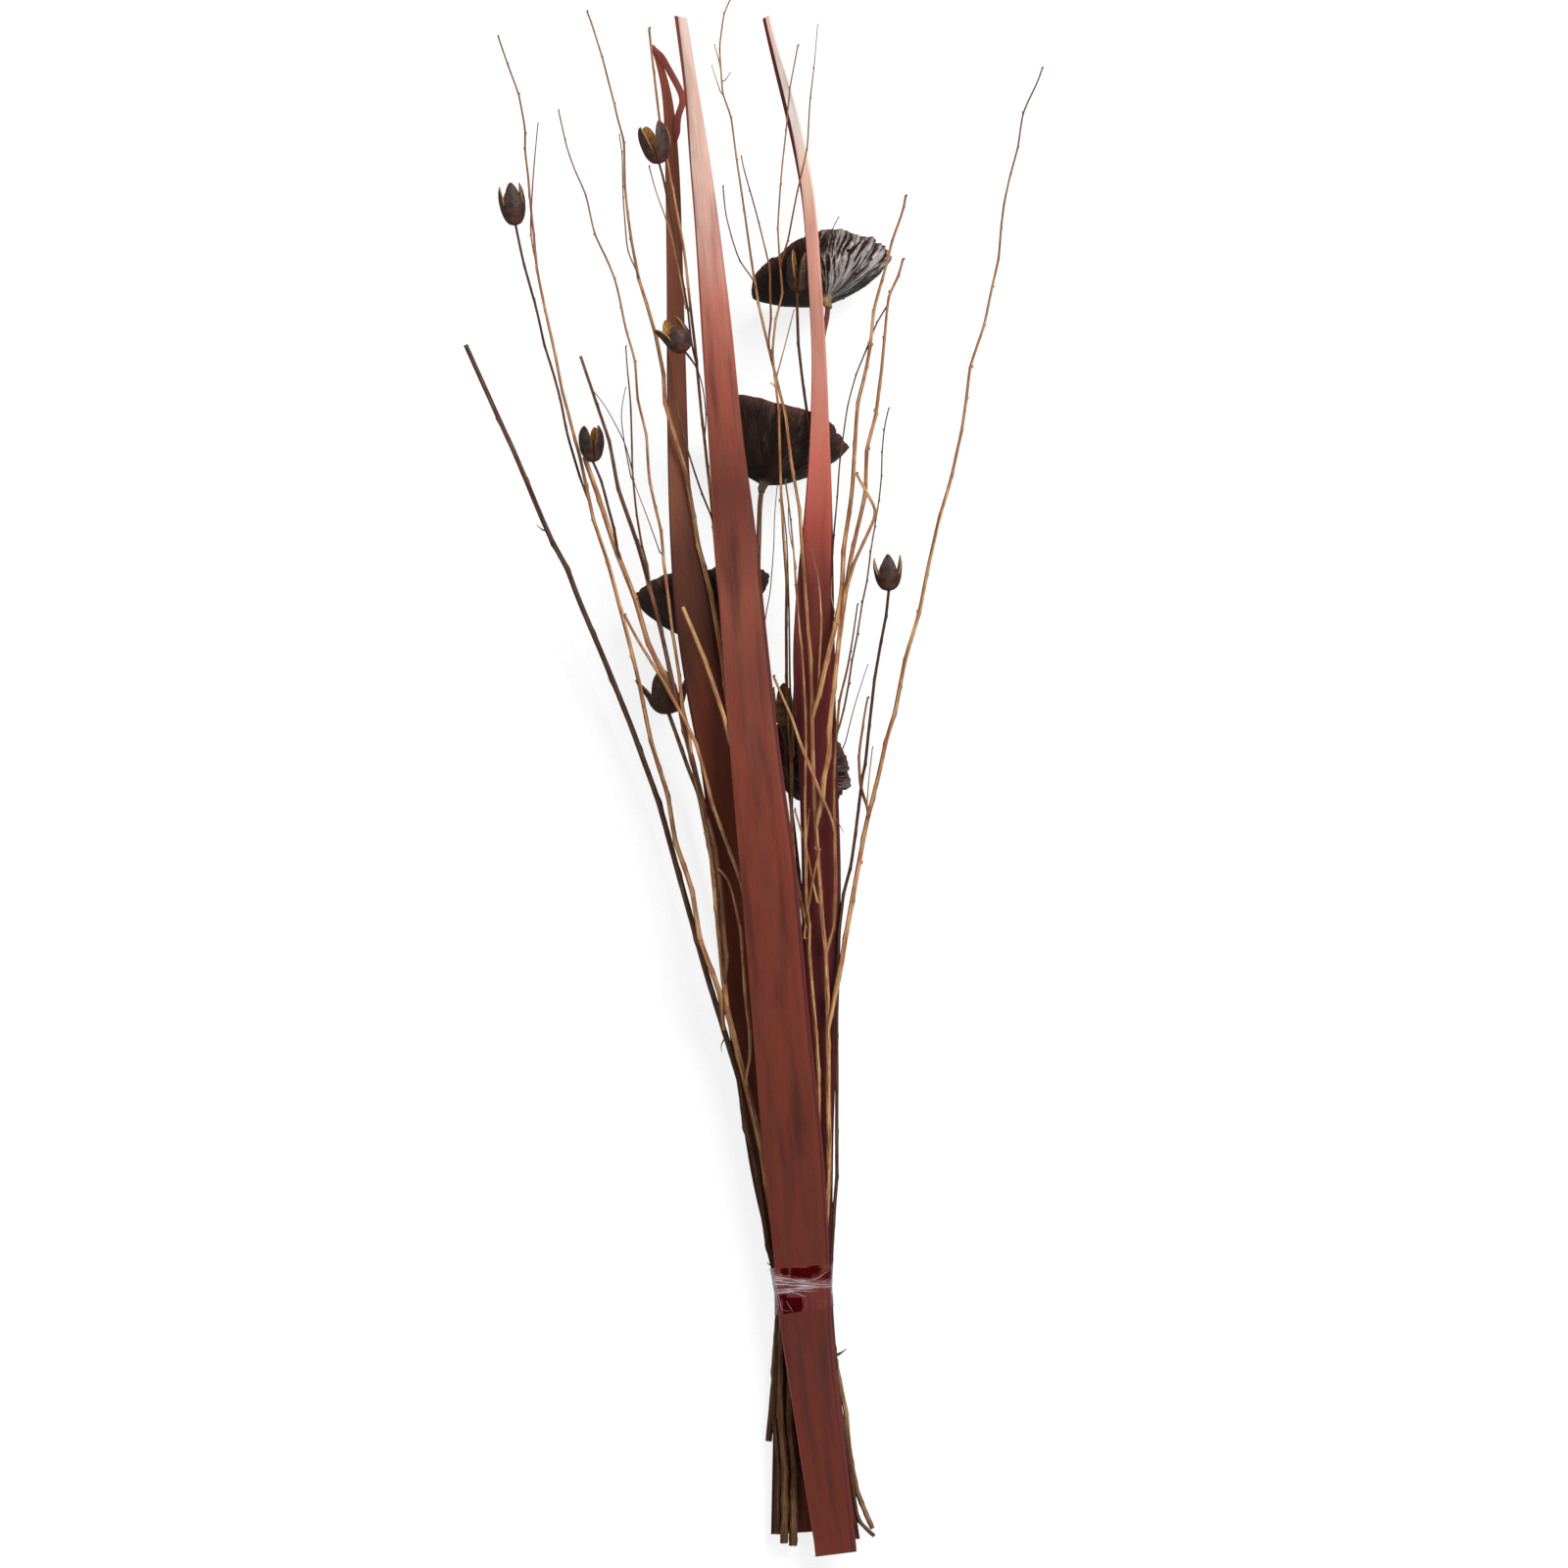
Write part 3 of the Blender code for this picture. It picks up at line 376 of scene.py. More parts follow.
for number in range(1, 5):
    node = f"lotus_stem_{number}"
    chance = np.random.default_rng(40 + number)
    line, radii = stem_line(node)
    along = along_of(line)
    turn = turns(STEM_SIDES)
    ribs = (1 + RIB_DEPTH * np.cos(RIBS * turn + 3 * np.sin(along[:, None] * 9))
            + RING_DEPTH * np.sin(along[:, None] * 210))
    growth = Growth()
    growth.tube(line, radii, STEM_SIDES, 0.5 * along / along[-1], ribs)
    for place in np.arange(0.05, along[-1] - 0.03, PRICKLE_GAP):
        add_bud(growth, line, radii, place + chance.normal(0, 0.006), chance.random() * 6.28, PRICKLE_LONG,
                PRICKLE_THICK, PRICKLE_LEAN, 0.5)
    cut_face(growth, line[0], line[0] - line[1], radii[0], chance, LOTUS_SPLINTERS)
    growth.finish(f"lotus_stalk_{number}", lotus_rind, "lotus_stem", node)


# ------------------------------------------------------------------------------------------------
# LOTUS PODS
# Four dried seed heads of the lotus. Each is a thin brown-black husk, a wrinkled funnel that shrank
# round its ribs as it dried, with a wavy rim and a sunken face full of holes where seeds sit.

POD_ROUND = 300
POD_DEEP = 60
POD_FACE = 34
# Rings of seeds: share of the radius and how many. Outlines: distance from the middle and height, in
# mm for the stub and as shares of the pod's radius and depth for the funnel.
POD_SEEDS = ((0, 1), (0.4, 6), (0.76, 11))
STUB_OUTLINE = ((2.4, -7.5), (3.0, -6.4), (2.9, -4.5), (3.5, -2.6), (3.3, -0.8), (4.4, 0.6), (7.5, 1.8))
FUNNEL_OUTLINE = ((0.34, 0.16), (0.66, 0.46), (0.9, 0.8), (0.985, 0.96), (1, 1))
STUB_RISE = 4.5
STUB_TOP = 5.2
FACE_DIP = 3.6
PIT_LIP = 1.2
PIT_DEEP = 6.5
SEED_SHAPE = (0.4, 0.8, 0.97, 1.0, 0.85, 0.5, 0.08)
SEED_FROM, SEED_TO, SEED_LEAST_HEIGHT = -0.0062, -0.001, 0.004
FLOOR_GAP = 0.0003
HUSK_BLACK = (0.015, 0.0062, 0.005)
HUSK_BROWN = (0.055, 0.023, 0.017)
HUSK_LIP = (0.2, 0.085, 0.065)
STUB_TAN = (0.95, 0.66, 0.36)
STUB_DARK = (0.28, 0.15, 0.065)
PIT_BLACK = (0.006, 0.004, 0.003)
SEED_BROWN = (0.05, 0.03, 0.02)


def rough(points, seed):
    """Smooth noise at each point, about -1 to 1."""
    shift = Vector((seed * 7.3, seed * 3.1, seed * 1.7))
    values = [noise.noise(Vector(point) + shift) for point in points.reshape(-1, 3)]
    return np.array(values).reshape(points.shape[:-1])


def stacked(*parts):
    """Points or values put together from their parts, which are spread over the same grid."""
    return np.stack(np.broadcast_arrays(*parts), axis=-1)


def corners_of(node):
    """The distinct corner points of a node's solid."""
    points = np.array([vertex.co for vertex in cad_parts[node].data.vertices])
    return np.unique(np.round(points, 6), axis=0)


def pod_axis(number):
    """The end of a pod's stub, the way the pod faces and the two directions square to that."""
    corners = corners_of(f"lotus_pod_{number}")
    end = stem_line(f"lotus_stem_{number}")[0][-1]
    stub = corners[np.argsort(np.linalg.norm(corners - end, axis=1))[:12]]
    facing = np.linalg.svd(stub - stub.mean(axis=0))[2][-1]
    facing *= math.copysign(1, facing @ (corners.mean(axis=0) - end))
    level, upward = square_to(facing)
    return end + facing * ((stub.mean(axis=0) - end) @ facing), facing, -level, upward


def worked(tree, operation, *values):
    """The result of one step of arithmetic on shader values."""
    return put(tree, "ShaderNodeMath", dict(enumerate(values)), operation=operation).outputs[0]


def husk(name, dull, painted_sheen_strength, painted_sheen_colour):
    """Papery brown-black husk, with painted shade in its folds and a painted sheen along its creases.

    The marks are the painted sheen and shade, how tan the stub is, and the reddish lip of the rim.
    Age is 0 on the husk, -1 in the pits and 2 on the seeds.
    """
    finish = Finish(name, dull, 0.3, 900.0, 0.12, 70.0)
    base = finish.mix(finish.fibre, HUSK_BLACK, HUSK_BROWN)
    # Painted shade: near black where the sheen-and-shade mark is low, in the folds.
    shaded = finish.fade(base, HUSK_BLACK, finish.marks["X"], 0.1, 0.6, 0.7, 0)
    sheen_breakup = finish.range(finish.fibre, 0.1, 0.8, 0.55, 1)
    # Painted sheen: a pale colour laid on where the mark is high, broken up by the fibres.
    sheen_share = worked(finish.tree, "MULTIPLY", finish.range(finish.marks["X"], 0.55, 0.95, 0, painted_sheen_strength), sheen_breakup)
    glint = finish.mix(sheen_share, shaded, painted_sheen_colour)
    lip = finish.fade(glint, HUSK_LIP, finish.marks["Z"], 0, 1, 0, 0.45)
    stub = finish.mix(finish.marks["Y"], lip, finish.mix(finish.fibre, STUB_DARK, STUB_TAN))
    pit = finish.fade(stub, PIT_BLACK, finish.age, -1, 0, 0.9, 0)
    seed = finish.fade(pit, SEED_BROWN, finish.age, 1, 1.8)
    sheen_dull = finish.range(finish.marks["X"], 0.2, 0.9, dull + 0.15, dull)
    return finish.wear(seed, finish.fibre, 0.0006, sheen_dull)


def noise_round(around, height, seed):
    """Smooth noise at places round a pod, at one height on it."""
    return rough(np.column_stack([around, np.full(len(around), height)]), seed)


def relief_of(turn, out, height, seed):
    """The husk's wrinkles round one ring of a pod, the painted sheen on their crests and the finest of them.
    """
    circle = circle_of(turn)
    swung = circle_of(turn + 0.3 * noise_round(circle * 1.7, height * 0.05, seed + 10)
                      + 0.07 * noise_round(circle * 5, height * 0.16, seed + 20))
    spokes = circle_of(turn + 0.1 * noise_round(circle * 2.5, height * 0.08, seed + 15))
    folds = noise_round(swung * 4.2, height * 0.03, seed + 30)
    patch = noise_round(swung * 2.2, height * 0.05, seed + 90)
    fine = noise_round(circle * out * 0.5, height * 0.5, seed + 60)
    creases = 1 - 2.4 * np.abs(noise_round(swung * 8.5, height * 0.05, seed + 40))
    crinkle = 1 - 2.4 * np.abs(noise_round(circle * out * 0.16, height * 0.16, seed + 50))
    streak = 1 - 3.2 * np.abs(noise_round(spokes * 21, height * 0.09, seed + 80))
    relief = 0.05 * folds + 0.024 * creases + 0.007 * streak + 0.012 * crinkle + 0.007 * fine
    sheen_mask = 0.25 * folds + 0.15 * creases + 0.45 * streak + 0.45 * patch + 0.15 * fine
    return relief, sheen_mask, fine


def seed_pits(number, radius):
    """The middle and radius of each seed's hole in a pod's face, ring by ring."""
    chance = np.random.default_rng(number)
    pits = []
    for out, count in POD_SEEDS:
        for step in range(count):
            spot = 2 * math.pi * (step + 0.4 * chance.random()) / count + out * 5
            pits.append((out * radius * math.cos(spot), out * radius * math.sin(spot),
                         radius * (0.078 + 0.012 * chance.random())))
    return pits


def grow_pod(number, radius, depth, saddle, tuck, seed, stub_tan, crumple, dull, painted_sheen_strength, painted_sheen_colour):
    """A pod from its stub to its rim and over its face. Lengths in millimetres, as on the solid.

    crumple holds how deep the wrinkles are, the side where they are deepest and how much shallower
    they are on the other side. That side, which faces the light, also gets the strongest painted sheen.
    """
    foot, facing, level, upward = pod_axis(number)
    turn = turns(POD_ROUND)
    circle = circle_of(turn)
    sway = np.cos(2 * turn + seed) + np.cos(5 * turn + 2 * seed)
    nicks = np.clip(noise_round(circle * 5.0, 0, seed) - 0.1, 0, 1)
    outline = np.vstack([STUB_OUTLINE, np.array(FUNNEL_OUTLINE) * (radius, depth)])
    outline[:, 1] += STUB_RISE
    profile = eased(at_steps(outline, np.linspace(0, along_of(outline)[-1], POD_DEEP)), 1)
    deepest, deep_side, shallow = crumple
    side = np.clip(0.35 + 0.75 * np.cos(turn - deep_side), 0, 1.1)
    strength = shallow + (1 - shallow) * side
    rings, grains, ages, marks = [], [], [], []

    def ring(out, height, folds, painted_light_mark, age=0.0, tan=0.0, lip=0.0):
        share = out / radius
        wide = out * (1 + 0.012 * share ** 2 * sway + folds)
        bent = saddle * np.cos(2 * turn) - tuck * np.maximum(0, -np.sin(turn))
        lift = share ** 2 * (1.1 * sway - bent) - share ** 8 * nicks * 5.0
        local = np.column_stack([wide * circle[:, 0], wide * circle[:, 1], height + lift]) / 1000
        points = foot + local[:, :1] * level + local[:, 1:2] * upward + local[:, 2:] * facing
        points[:, 2] = np.maximum(points[:, 2], FLOOR_GAP)
        rings.append(points)
        grains.append(np.column_stack([circle * radius * 0.0007, np.full(POD_ROUND, height / 1000)]))
        ages.append(np.zeros(POD_ROUND) + age)
        marks.append(stacked(painted_light_mark, tan, lip))

    for out, height in profile:
        share = out / radius
        relief, sheen_mask, fine = relief_of(turn, out, height, seed)
        depth_of_fold = deepest * strength * min(1.0, share * 1.5) * relief
        if height < STUB_TOP:
            depth_of_fold = 0.1 * np.cos(3 * turn + height) + 0.1 * fine
        tan = stub_tan * float(np.clip((6.4 - height) / 1.6, 0, 1))
        # Painted sheen and shade: raised along the crests and on the side that faces the light, lowered in
        # the folds.
        sheen_and_shade = np.clip(0.22 + sheen_mask * strength + 0.55 * (strength - 0.5), 0, 1)
        ring(out, height, depth_of_fold, sheen_and_shade, 0, tan, share ** 20)
    rim = STUB_RISE + depth
    # The rim and the face get the same mark, set part-way, for a little painted sheen.
    ring(radius * 0.985, rim + 1.2, depth_of_fold, np.full(POD_ROUND, 0.6), 0, 0, 1)
    ring(radius * 0.955, rim + 1.0, depth_of_fold * 0.8, np.full(POD_ROUND, 0.5), 0, 0, 0.6)
    pits = seed_pits(number, radius)
    for share in np.linspace(0.93, 0.012, POD_FACE):
        flat = circle * radius * share
        wrinkle = noise_round(flat * 0.16, 0, seed + 70)
        sunken = math.sin(math.pi * min(1.0, (1 - share) * 3.5) / 2)
        dip = -FACE_DIP * sunken + FACE_DIP * (1 - share) + 0.7 * wrinkle
        age = np.zeros(POD_ROUND)
        for x, y, wide in pits:
            away = np.hypot(flat[:, 0] - x, flat[:, 1] - y) / wide
            dip = dip + PIT_LIP * np.exp(-((away - 1.15) / 0.18) ** 2)
            dip = dip - PIT_DEEP / (1 + np.exp((away - 0.9) * 12))
            age = np.where(away < 1, -1.0, age)
        ring(radius * share, rim + dip, depth_of_fold * share * 0.5, np.clip(0.4 + 0.3 * wrinkle, 0, 1), age)
    growth = Growth()
    growth.skin(np.array(rings), np.array(grains), np.array(ages), np.array(marks))
    for x, y, wide in pits:
        spot = foot + (x * level + y * upward + rim * facing) / 1000
        path = spot + np.linspace(SEED_FROM, SEED_TO, len(SEED_SHAPE))[:, None] * facing
        path[:, 2] = np.maximum(path[:, 2], SEED_LEAST_HEIGHT)
        growth.tube(path, wide * 0.00072 * np.array(SEED_SHAPE), 10, np.full(len(SEED_SHAPE), 2.0))
    material = husk(f"lotus husk {number}", dull, painted_sheen_strength, painted_sheen_colour)
    growth.finish(f"lotus_seed_head_{number}", material, "lotus_pod", f"lotus_pod_{number}")


# number, radius, depth, saddle and tuck of the rim, seed, how tan the stub is; depth of the wrinkles,
# the side where they are deepest and the painted sheen strongest, and how deep they are on the other;
# roughness, strength and colour of the painted sheen
grow_pod(1, 55, 25, 2.8, 13, 1.9, 1.0, (1.5, 2.7, 0.2), 0.3, 0.95, (0.8, 0.72, 0.71))
grow_pod(2, 56, 46, 0, 0, 4.1, 0.3, (0.8, 2.9, 0.6), 0.45, 0.35, (0.16, 0.09, 0.07))
grow_pod(3, 52, 44, 0, 0, 0.6, 0.3, (0.9, 2.6, 0.7), 0.45, 0.3, (0.13, 0.09, 0.075))
grow_pod(4, 37, 28, 0, 0, 3.3, 0.3, (1.6, 2.6, 0.7), 0.35, 0.8, (0.3, 0.2, 0.19))


# ------------------------------------------------------------------------------------------------
# SEED CAPSULES
# Eight small woody capsules on thin stalks. Each has split from its top into four thick valves,
# grey-brown and rough outside, golden inside, with a pale line along each torn edge.

VALVE_ROWS = 30
VALVE_COLUMNS = 15
VALVE_WALL = 1.4
CAPSULE_BELLY = 0.56
CAPSULE_FOOT = 0.16
FORK_STEPS = 11
SHELL_BROWN = (0.085, 0.042, 0.03)
SHELL_DARK = (0.035, 0.018, 0.013)
FOOT_RED = (0.14, 0.04, 0.02)
LINING_GOLD = (0.5, 0.235, 0.06)
EDGE_CREAM = (0.75, 0.5, 0.28)


def rooted(line, radii, parent):
    """A forked stem's line and radii, drawn in at its foot to the stem that it grew from."""
    trunk, thick = stem_line(parent)
    near = int(np.argmin(np.linalg.norm(trunk - line[0], axis=1)))
    drawn = np.clip(1 - np.arange(len(line)) / FORK_STEPS, 0, 1)[:, None] ** 1.4
    line = line + (trunk[near] - line[0]) * 0.88 * drawn
    foot = trunk[[max(near - 4, 0), max(near - 2, 0)]]
    base = min(radii[0], 0.6 * thick[near])
    radii = radii * np.clip(0.7 + 0.08 * np.arange(len(radii)), 0, 1)
    return eased(np.vstack([foot, line]), 2), np.concatenate([[0.6 * base, base], radii])


def shell(name, dark, light):
    """Woody capsule wall. The marks are the torn edge and the lining."""
    finish = Finish(name, 0.5, 0.3, 700.0, 0.3, 220.0)
    wall = finish.mix(finish.stain, dark, light)
    outside = finish.fade(wall, FOOT_RED, finish.age, 0.0, 0.3, 0.6, 0)
    lining = finish.mix(finish.fibre, toned(LINING_GOLD, 0.45), LINING_GOLD)
    lined = finish.fade(outside, lining, finish.marks["Y"], 0.2, 0.7)
    edged = finish.fade(lined, EDGE_CREAM, finish.marks["X"], 0.35, 0.85)
    return finish.wear(edged, finish.stain, 0.0004)


def grow_capsule(number, split, material, valves, rumple):
    """Each valve has the side it faces in degrees (90 is up), how far its tip leans out, how tall and
    how blunt it is, and how wide it still is near its tip."""
    node = f"seed_capsule_{number}"
    corners = corners_of(node)
    foot = stem_line(f"capsule_stalk_{number}")[0][-1]
    axis = corners.mean(axis=0) - foot
    axis /= np.linalg.norm(axis)
    deep = (corners - foot) @ axis
    radius = 0.97 * np.linalg.norm(corners - foot - deep[:, None] * axis, axis=1).max()
    foot, length = foot + axis * deep.min(), np.ptp(deep) * 0.99
    level, upward = square_to(axis)
    wall = VALVE_WALL / 1000
    joined = np.linspace(0, 1 - split, VALVE_ROWS // 2, endpoint=False)
    parted = 1 - split + split * np.sin(np.linspace(0, math.pi / 2, VALVE_ROWS - len(joined)))
    rows = np.concatenate([joined, parted])[:, None]
    free = np.clip((rows - (1 - split)) / split, 0, 1)
    across = np.sin(np.linspace(-math.pi / 2, math.pi / 2, VALVE_COLUMNS))[None, :]
    growth = Growth()
    for side, lean, tall, blunt, slim in valves:
        narrow = (1 - free ** blunt) ** 0.5 * (1 - (1 - slim) * free ** 0.7)
        half = math.pi / 4 * (narrow - 0.03 * free ** 0.3)
        turn = math.radians(side) + across * half
        swell = np.where(rows < CAPSULE_BELLY, np.sqrt(np.clip(1 - (1 - rows / CAPSULE_BELLY) ** 2, 0, 1)),
                         1 - 0.24 * ((rows - CAPSULE_BELLY) / (1 - CAPSULE_BELLY)) ** 2)
        out = radius * (CAPSULE_FOOT + (1 - CAPSULE_FOOT) * swell + lean * free ** 1.5)
        cup = out * (1 - 0.1 * free * (1 - narrow))
        height = length * (rows - (1 - tall) * free ** 1.4 * split - 0.2 * max(lean, 0) * free ** 2)
        spots = stacked(np.cos(turn) * 3, np.sin(turn) * 3, rows * 4)
        cup = cup * (1 + rumple * rough(spots, number + side))
        rings, grains = [], []
        for inward, columns in ((0.0, slice(None)), (0.5, slice(-1, None)), (1.0, slice(None, None, -1)),
                                (0.5, slice(0, 1))):
            angle = turn[:, columns]
            reach = cup[:, columns] - wall * inward * np.clip(rows * 6, 0.2, 1) * (1 - 0.45 * free ** 2)
            place = stacked(reach * np.cos(angle), reach * np.sin(angle), height + wall * inward * 0.3)
            rings.append(foot + place[..., :1] * level + place[..., 1:2] * upward + place[..., 2:] * axis)
            grains.append(place)
        edge = (np.abs(across) > 0.999) * (free > 0.01)
        torn = np.concatenate([0.75 * edge, edge[:, -1:] * 0.5, 0 * edge[:, ::-1], edge[:, :1] * 0.5], axis=1)
        lined = np.concatenate([np.zeros(VALVE_COLUMNS), [0.6], np.ones(VALVE_COLUMNS), [0.6]])
        growth.skin(np.concatenate(rings, axis=1), np.concatenate(grains, axis=1), rows[:, 0],
                    stacked(torn, lined, 0))
    growth.finish(f"split_capsule_{number}", material, "capsule", node)


TWIG_SIDES = 10
TWIG_EASE = 2
KNOT_SWELL = 0.26
KNOT_KINK = 0.0004
BEND_REACH, BEND_LEAST = 4, 0.012
OLD_GNARL = 0.24
STALK_SLIM = {2: (0.8, 0.9), 3: (0.5, 0.95)}
STALK_KNOTS, STALK_BUDS = 0.034, 0.8
BARE_KNOTS = 0.25
TIP_SPLINTERS, FOOT_SPLINTERS = 3, 12
FORKED_AGE = 0.3
OLIVE_STALK = 5
# Where a stalk widens into its capsule: how far past its end (m) and how much wider.
STALK_FLARE = ((0.0014, 1.35), (0.003, 1.9))
STALK_FORKS = {1: "twig_left_long", 2: "twig_centre_long", 3: "twig_centre_long", 4: "twig_left_main",
               7: "capsule_stalk_8"}


def bends_of(line):
    """The steps at which a stem turns, each with the side on which its bend stands out."""
    run = np.diff(line[:, :2], axis=0)
    turning = np.gradient(np.unwrap(np.arctan2(run[:, 0], run[:, 1])))
    sharp = np.abs(turning)
    return [(step, 0.0 if turning[step] < 0 else math.pi)
            for step in range(BEND_REACH, len(sharp) - BEND_REACH)
            if sharp[step] > BEND_LEAST
            and sharp[step] == sharp[step - BEND_REACH:step + BEND_REACH + 1].max()]


def knotted(line, radii, chance, every, kink, gnarl):
    """A stem with a knot at each bend and every so often between, where it swells on one side.

    kink is how far it shifts at a knot and gnarl how lumpy its old end is. Gives its line, the ripples
    of its radius, its marks and the place and side of each knot.
    """
    along = along_of(line)
    knots = [(along[step], side + chance.normal(0, 0.4)) for step, side in bends_of(line)]
    stations = [0, *[place for place, _ in knots], along[-1]]
    for low, high in zip(stations, stations[1:]):
        extra = int((high - low) / (1.3 * every))
        knots += [(low + (high - low) * (step + 1 + chance.normal(0, 0.12)) / (extra + 1),
                   math.pi * step + chance.normal(0, 0.6)) for step in range(extra)]
    knots = sorted(knot for knot in knots if 0.004 < knot[0] < along[-1] - 0.005)
    turn = turns(TWIG_SIDES)
    ripple = np.ones((len(along), TWIG_SIDES))
    marks = np.zeros((len(along), TWIG_SIDES, 3))
    shifts = []
    for number, (place, side) in enumerate(knots):
        near = np.exp(-((along - place) / (1.2 * np.interp(place, along, radii) + 0.0008)) ** 2)
        facing = 0.45 + 0.55 * np.cos(turn - side)
        ripple += KNOT_SWELL * near[:, None] * facing
        marks[..., 1] += chance.random() * near[:, None] ** 3 * facing
        softer = np.interp(np.interp(place, along, radii), (0.0006, 0.0018), (1.2, 0.35))
        shifts.append(kink * softer * math.cos(math.pi * number) * (0.3 + 0.5 * chance.random()))
    if knots:
        _, level, upward = square_frames(line)
        shift = np.interp(along, [0, *[place for place, _ in knots], along[-1]], [0, *shifts, 0])
        line = line + shift[:, None] * (0.9 * level + 0.3 * upward)
    lumps = rough(stacked(np.cos(turn) * 2, np.sin(turn) * 2, along[:, None] * 160), every * 999)
    return line, ripple * (1 + (0.05 + gnarl * np.exp(-along / 0.15))[:, None] * lumps), marks, knots


SHOOT_STEP = 0.003
SHOOT_SIDES = 6
# Stalk: route of each fine shoot from its foot (mm), radii at foot and tip, height of the tip and how
# young it is. Short ones are thorns.
STALK_SHOOTS = {
    6: [([(64, -448), (68.5, -446), (72.6, -442.5)], 1.3, 0.15, None, 0.5)],
    7: [
        ([(33.7, 368.9), (42.7, 388.9), (52.7, 405.9), (65.7, 431.9)], 0.55, 0.35, 116, 0.8)],
}


def add_shoots(growth, shoots, line):
    """The fine shoots and thorns that grow from a stem, each with its foot inside the stem."""
    for route, foot, tip, top, age in shoots:
        plan = np.array(route) / 1000
        near = int(np.argmin(np.linalg.norm(line[:, :2] - plan[0], axis=1)))
        start = line[near]
        length = along_of(plan)[-1]
        steps = np.linspace(0, length, max(5, round(length / SHOOT_STEP)))
        if top is None:
            ahead = min(near + len(steps), len(line) - 1)
            rise = (line[ahead, 2] - start[2]) * 0.6 + 0.002
        else:
            rise = top / 1000 - start[2]
        path = np.column_stack([at_steps(plan, steps), start[2] + rise * steps / length])
        path = eased(path, min(2, (len(path) - 1) // 3))
        path[0] = start
        thick = np.linspace(foot, tip, len(steps)) / 1000
        thick[1] *= 1.1
        growth.tube(path, thick, SHOOT_SIDES, np.full(len(steps), age))
        if tip > 0.25:
            add_bud(growth, path, thick, along_of(path)[-1] - 0.0004, 0.0, 0.0018, tip / 880, 0.0, age)


def grow_stem(node, name, slot, parent, material, seed, every, size, slim, age, shoots, cut_tip=False,
              buds=(), ease=TWIG_EASE):
    """A twig or stalk with its knots, buds and shoots.

    slim is how much thinner than its solid the stem is, low down and near its tip, and buds holds the
    place (y), side and length of the large ones.
    """
    chance = np.random.default_rng(seed)
    line, radii = stem_line(node, ease)
    if parent:
        line, radii = rooted(line, radii, parent)
    if slot == "stalk":
        ahead = (line[-1] - line[-2]) / np.linalg.norm(line[-1] - line[-2])
        line = np.vstack([line, *(line[-1] + ahead * past for past, _ in STALK_FLARE)])
        radii = np.concatenate([radii, radii[-1] * np.array([wider for _, wider in STALK_FLARE])])
    along = along_of(line)
    thin = np.clip((0.0014 - radii) / 0.0009, 0, 1)
    radii = radii * np.interp(along / along[-1], (0.78, 0.9), slim)
    line, ripple, marks, knots = knotted(line, radii, chance, every, KNOT_KINK * size,
                                         0 if parent else OLD_GNARL)
    growth = Growth()
    grown = np.clip(age + 0.25 * along / along[-1] + 0.3 * thin, 0, 1)
    growth.tube(line, radii, TWIG_SIDES, grown, ripple, marks)
    for place, side in knots:
        if chance.random() < BARE_KNOTS:
            continue
        thick = float(np.interp(place, along, radii))
        length = size * (0.0015 + 0.0009 * chance.random())
        add_bud(growth, line, radii, place, side, length, 0.00028 * size + 0.2 * thick,
                0.35 + 0.3 * chance.random(), float(np.interp(place, along, grown)) + 0.2)
    for y, side, length in buds:
        place = float(np.interp(y / 1000, line[:, 1], along))
        thick = float(np.interp(place, along, radii))
        add_bud(growth, line, radii, place, side, length / 1000, 0.3 * thick + 0.0005, 0.5, 0.5)
    if cut_tip:
        cut_face(growth, line[-1], line[-1] - line[-2], radii[-1], chance, TIP_SPLINTERS, 0.2)
    elif slot != "stalk":
        add_bud(growth, line, radii, along[-1] - 0.0006, 0.0, 0.0017, radii[-1], 0.0, 1.0)
    if not parent:
        cut_face(growth, line[0], line[0] - line[1], radii[0], chance, FOOT_SPLINTERS)
    add_shoots(growth, shoots, line)
    growth.finish(name, material, slot, node)


brown_shell = shell("brown capsule shell", SHELL_DARK, SHELL_BROWN)
dark_shell = shell("dark capsule shell", (0.022, 0.013, 0.01), (0.06, 0.034, 0.024))
tan_shell = shell("tan capsule shell", (0.12, 0.05, 0.022), (0.36, 0.19, 0.08))

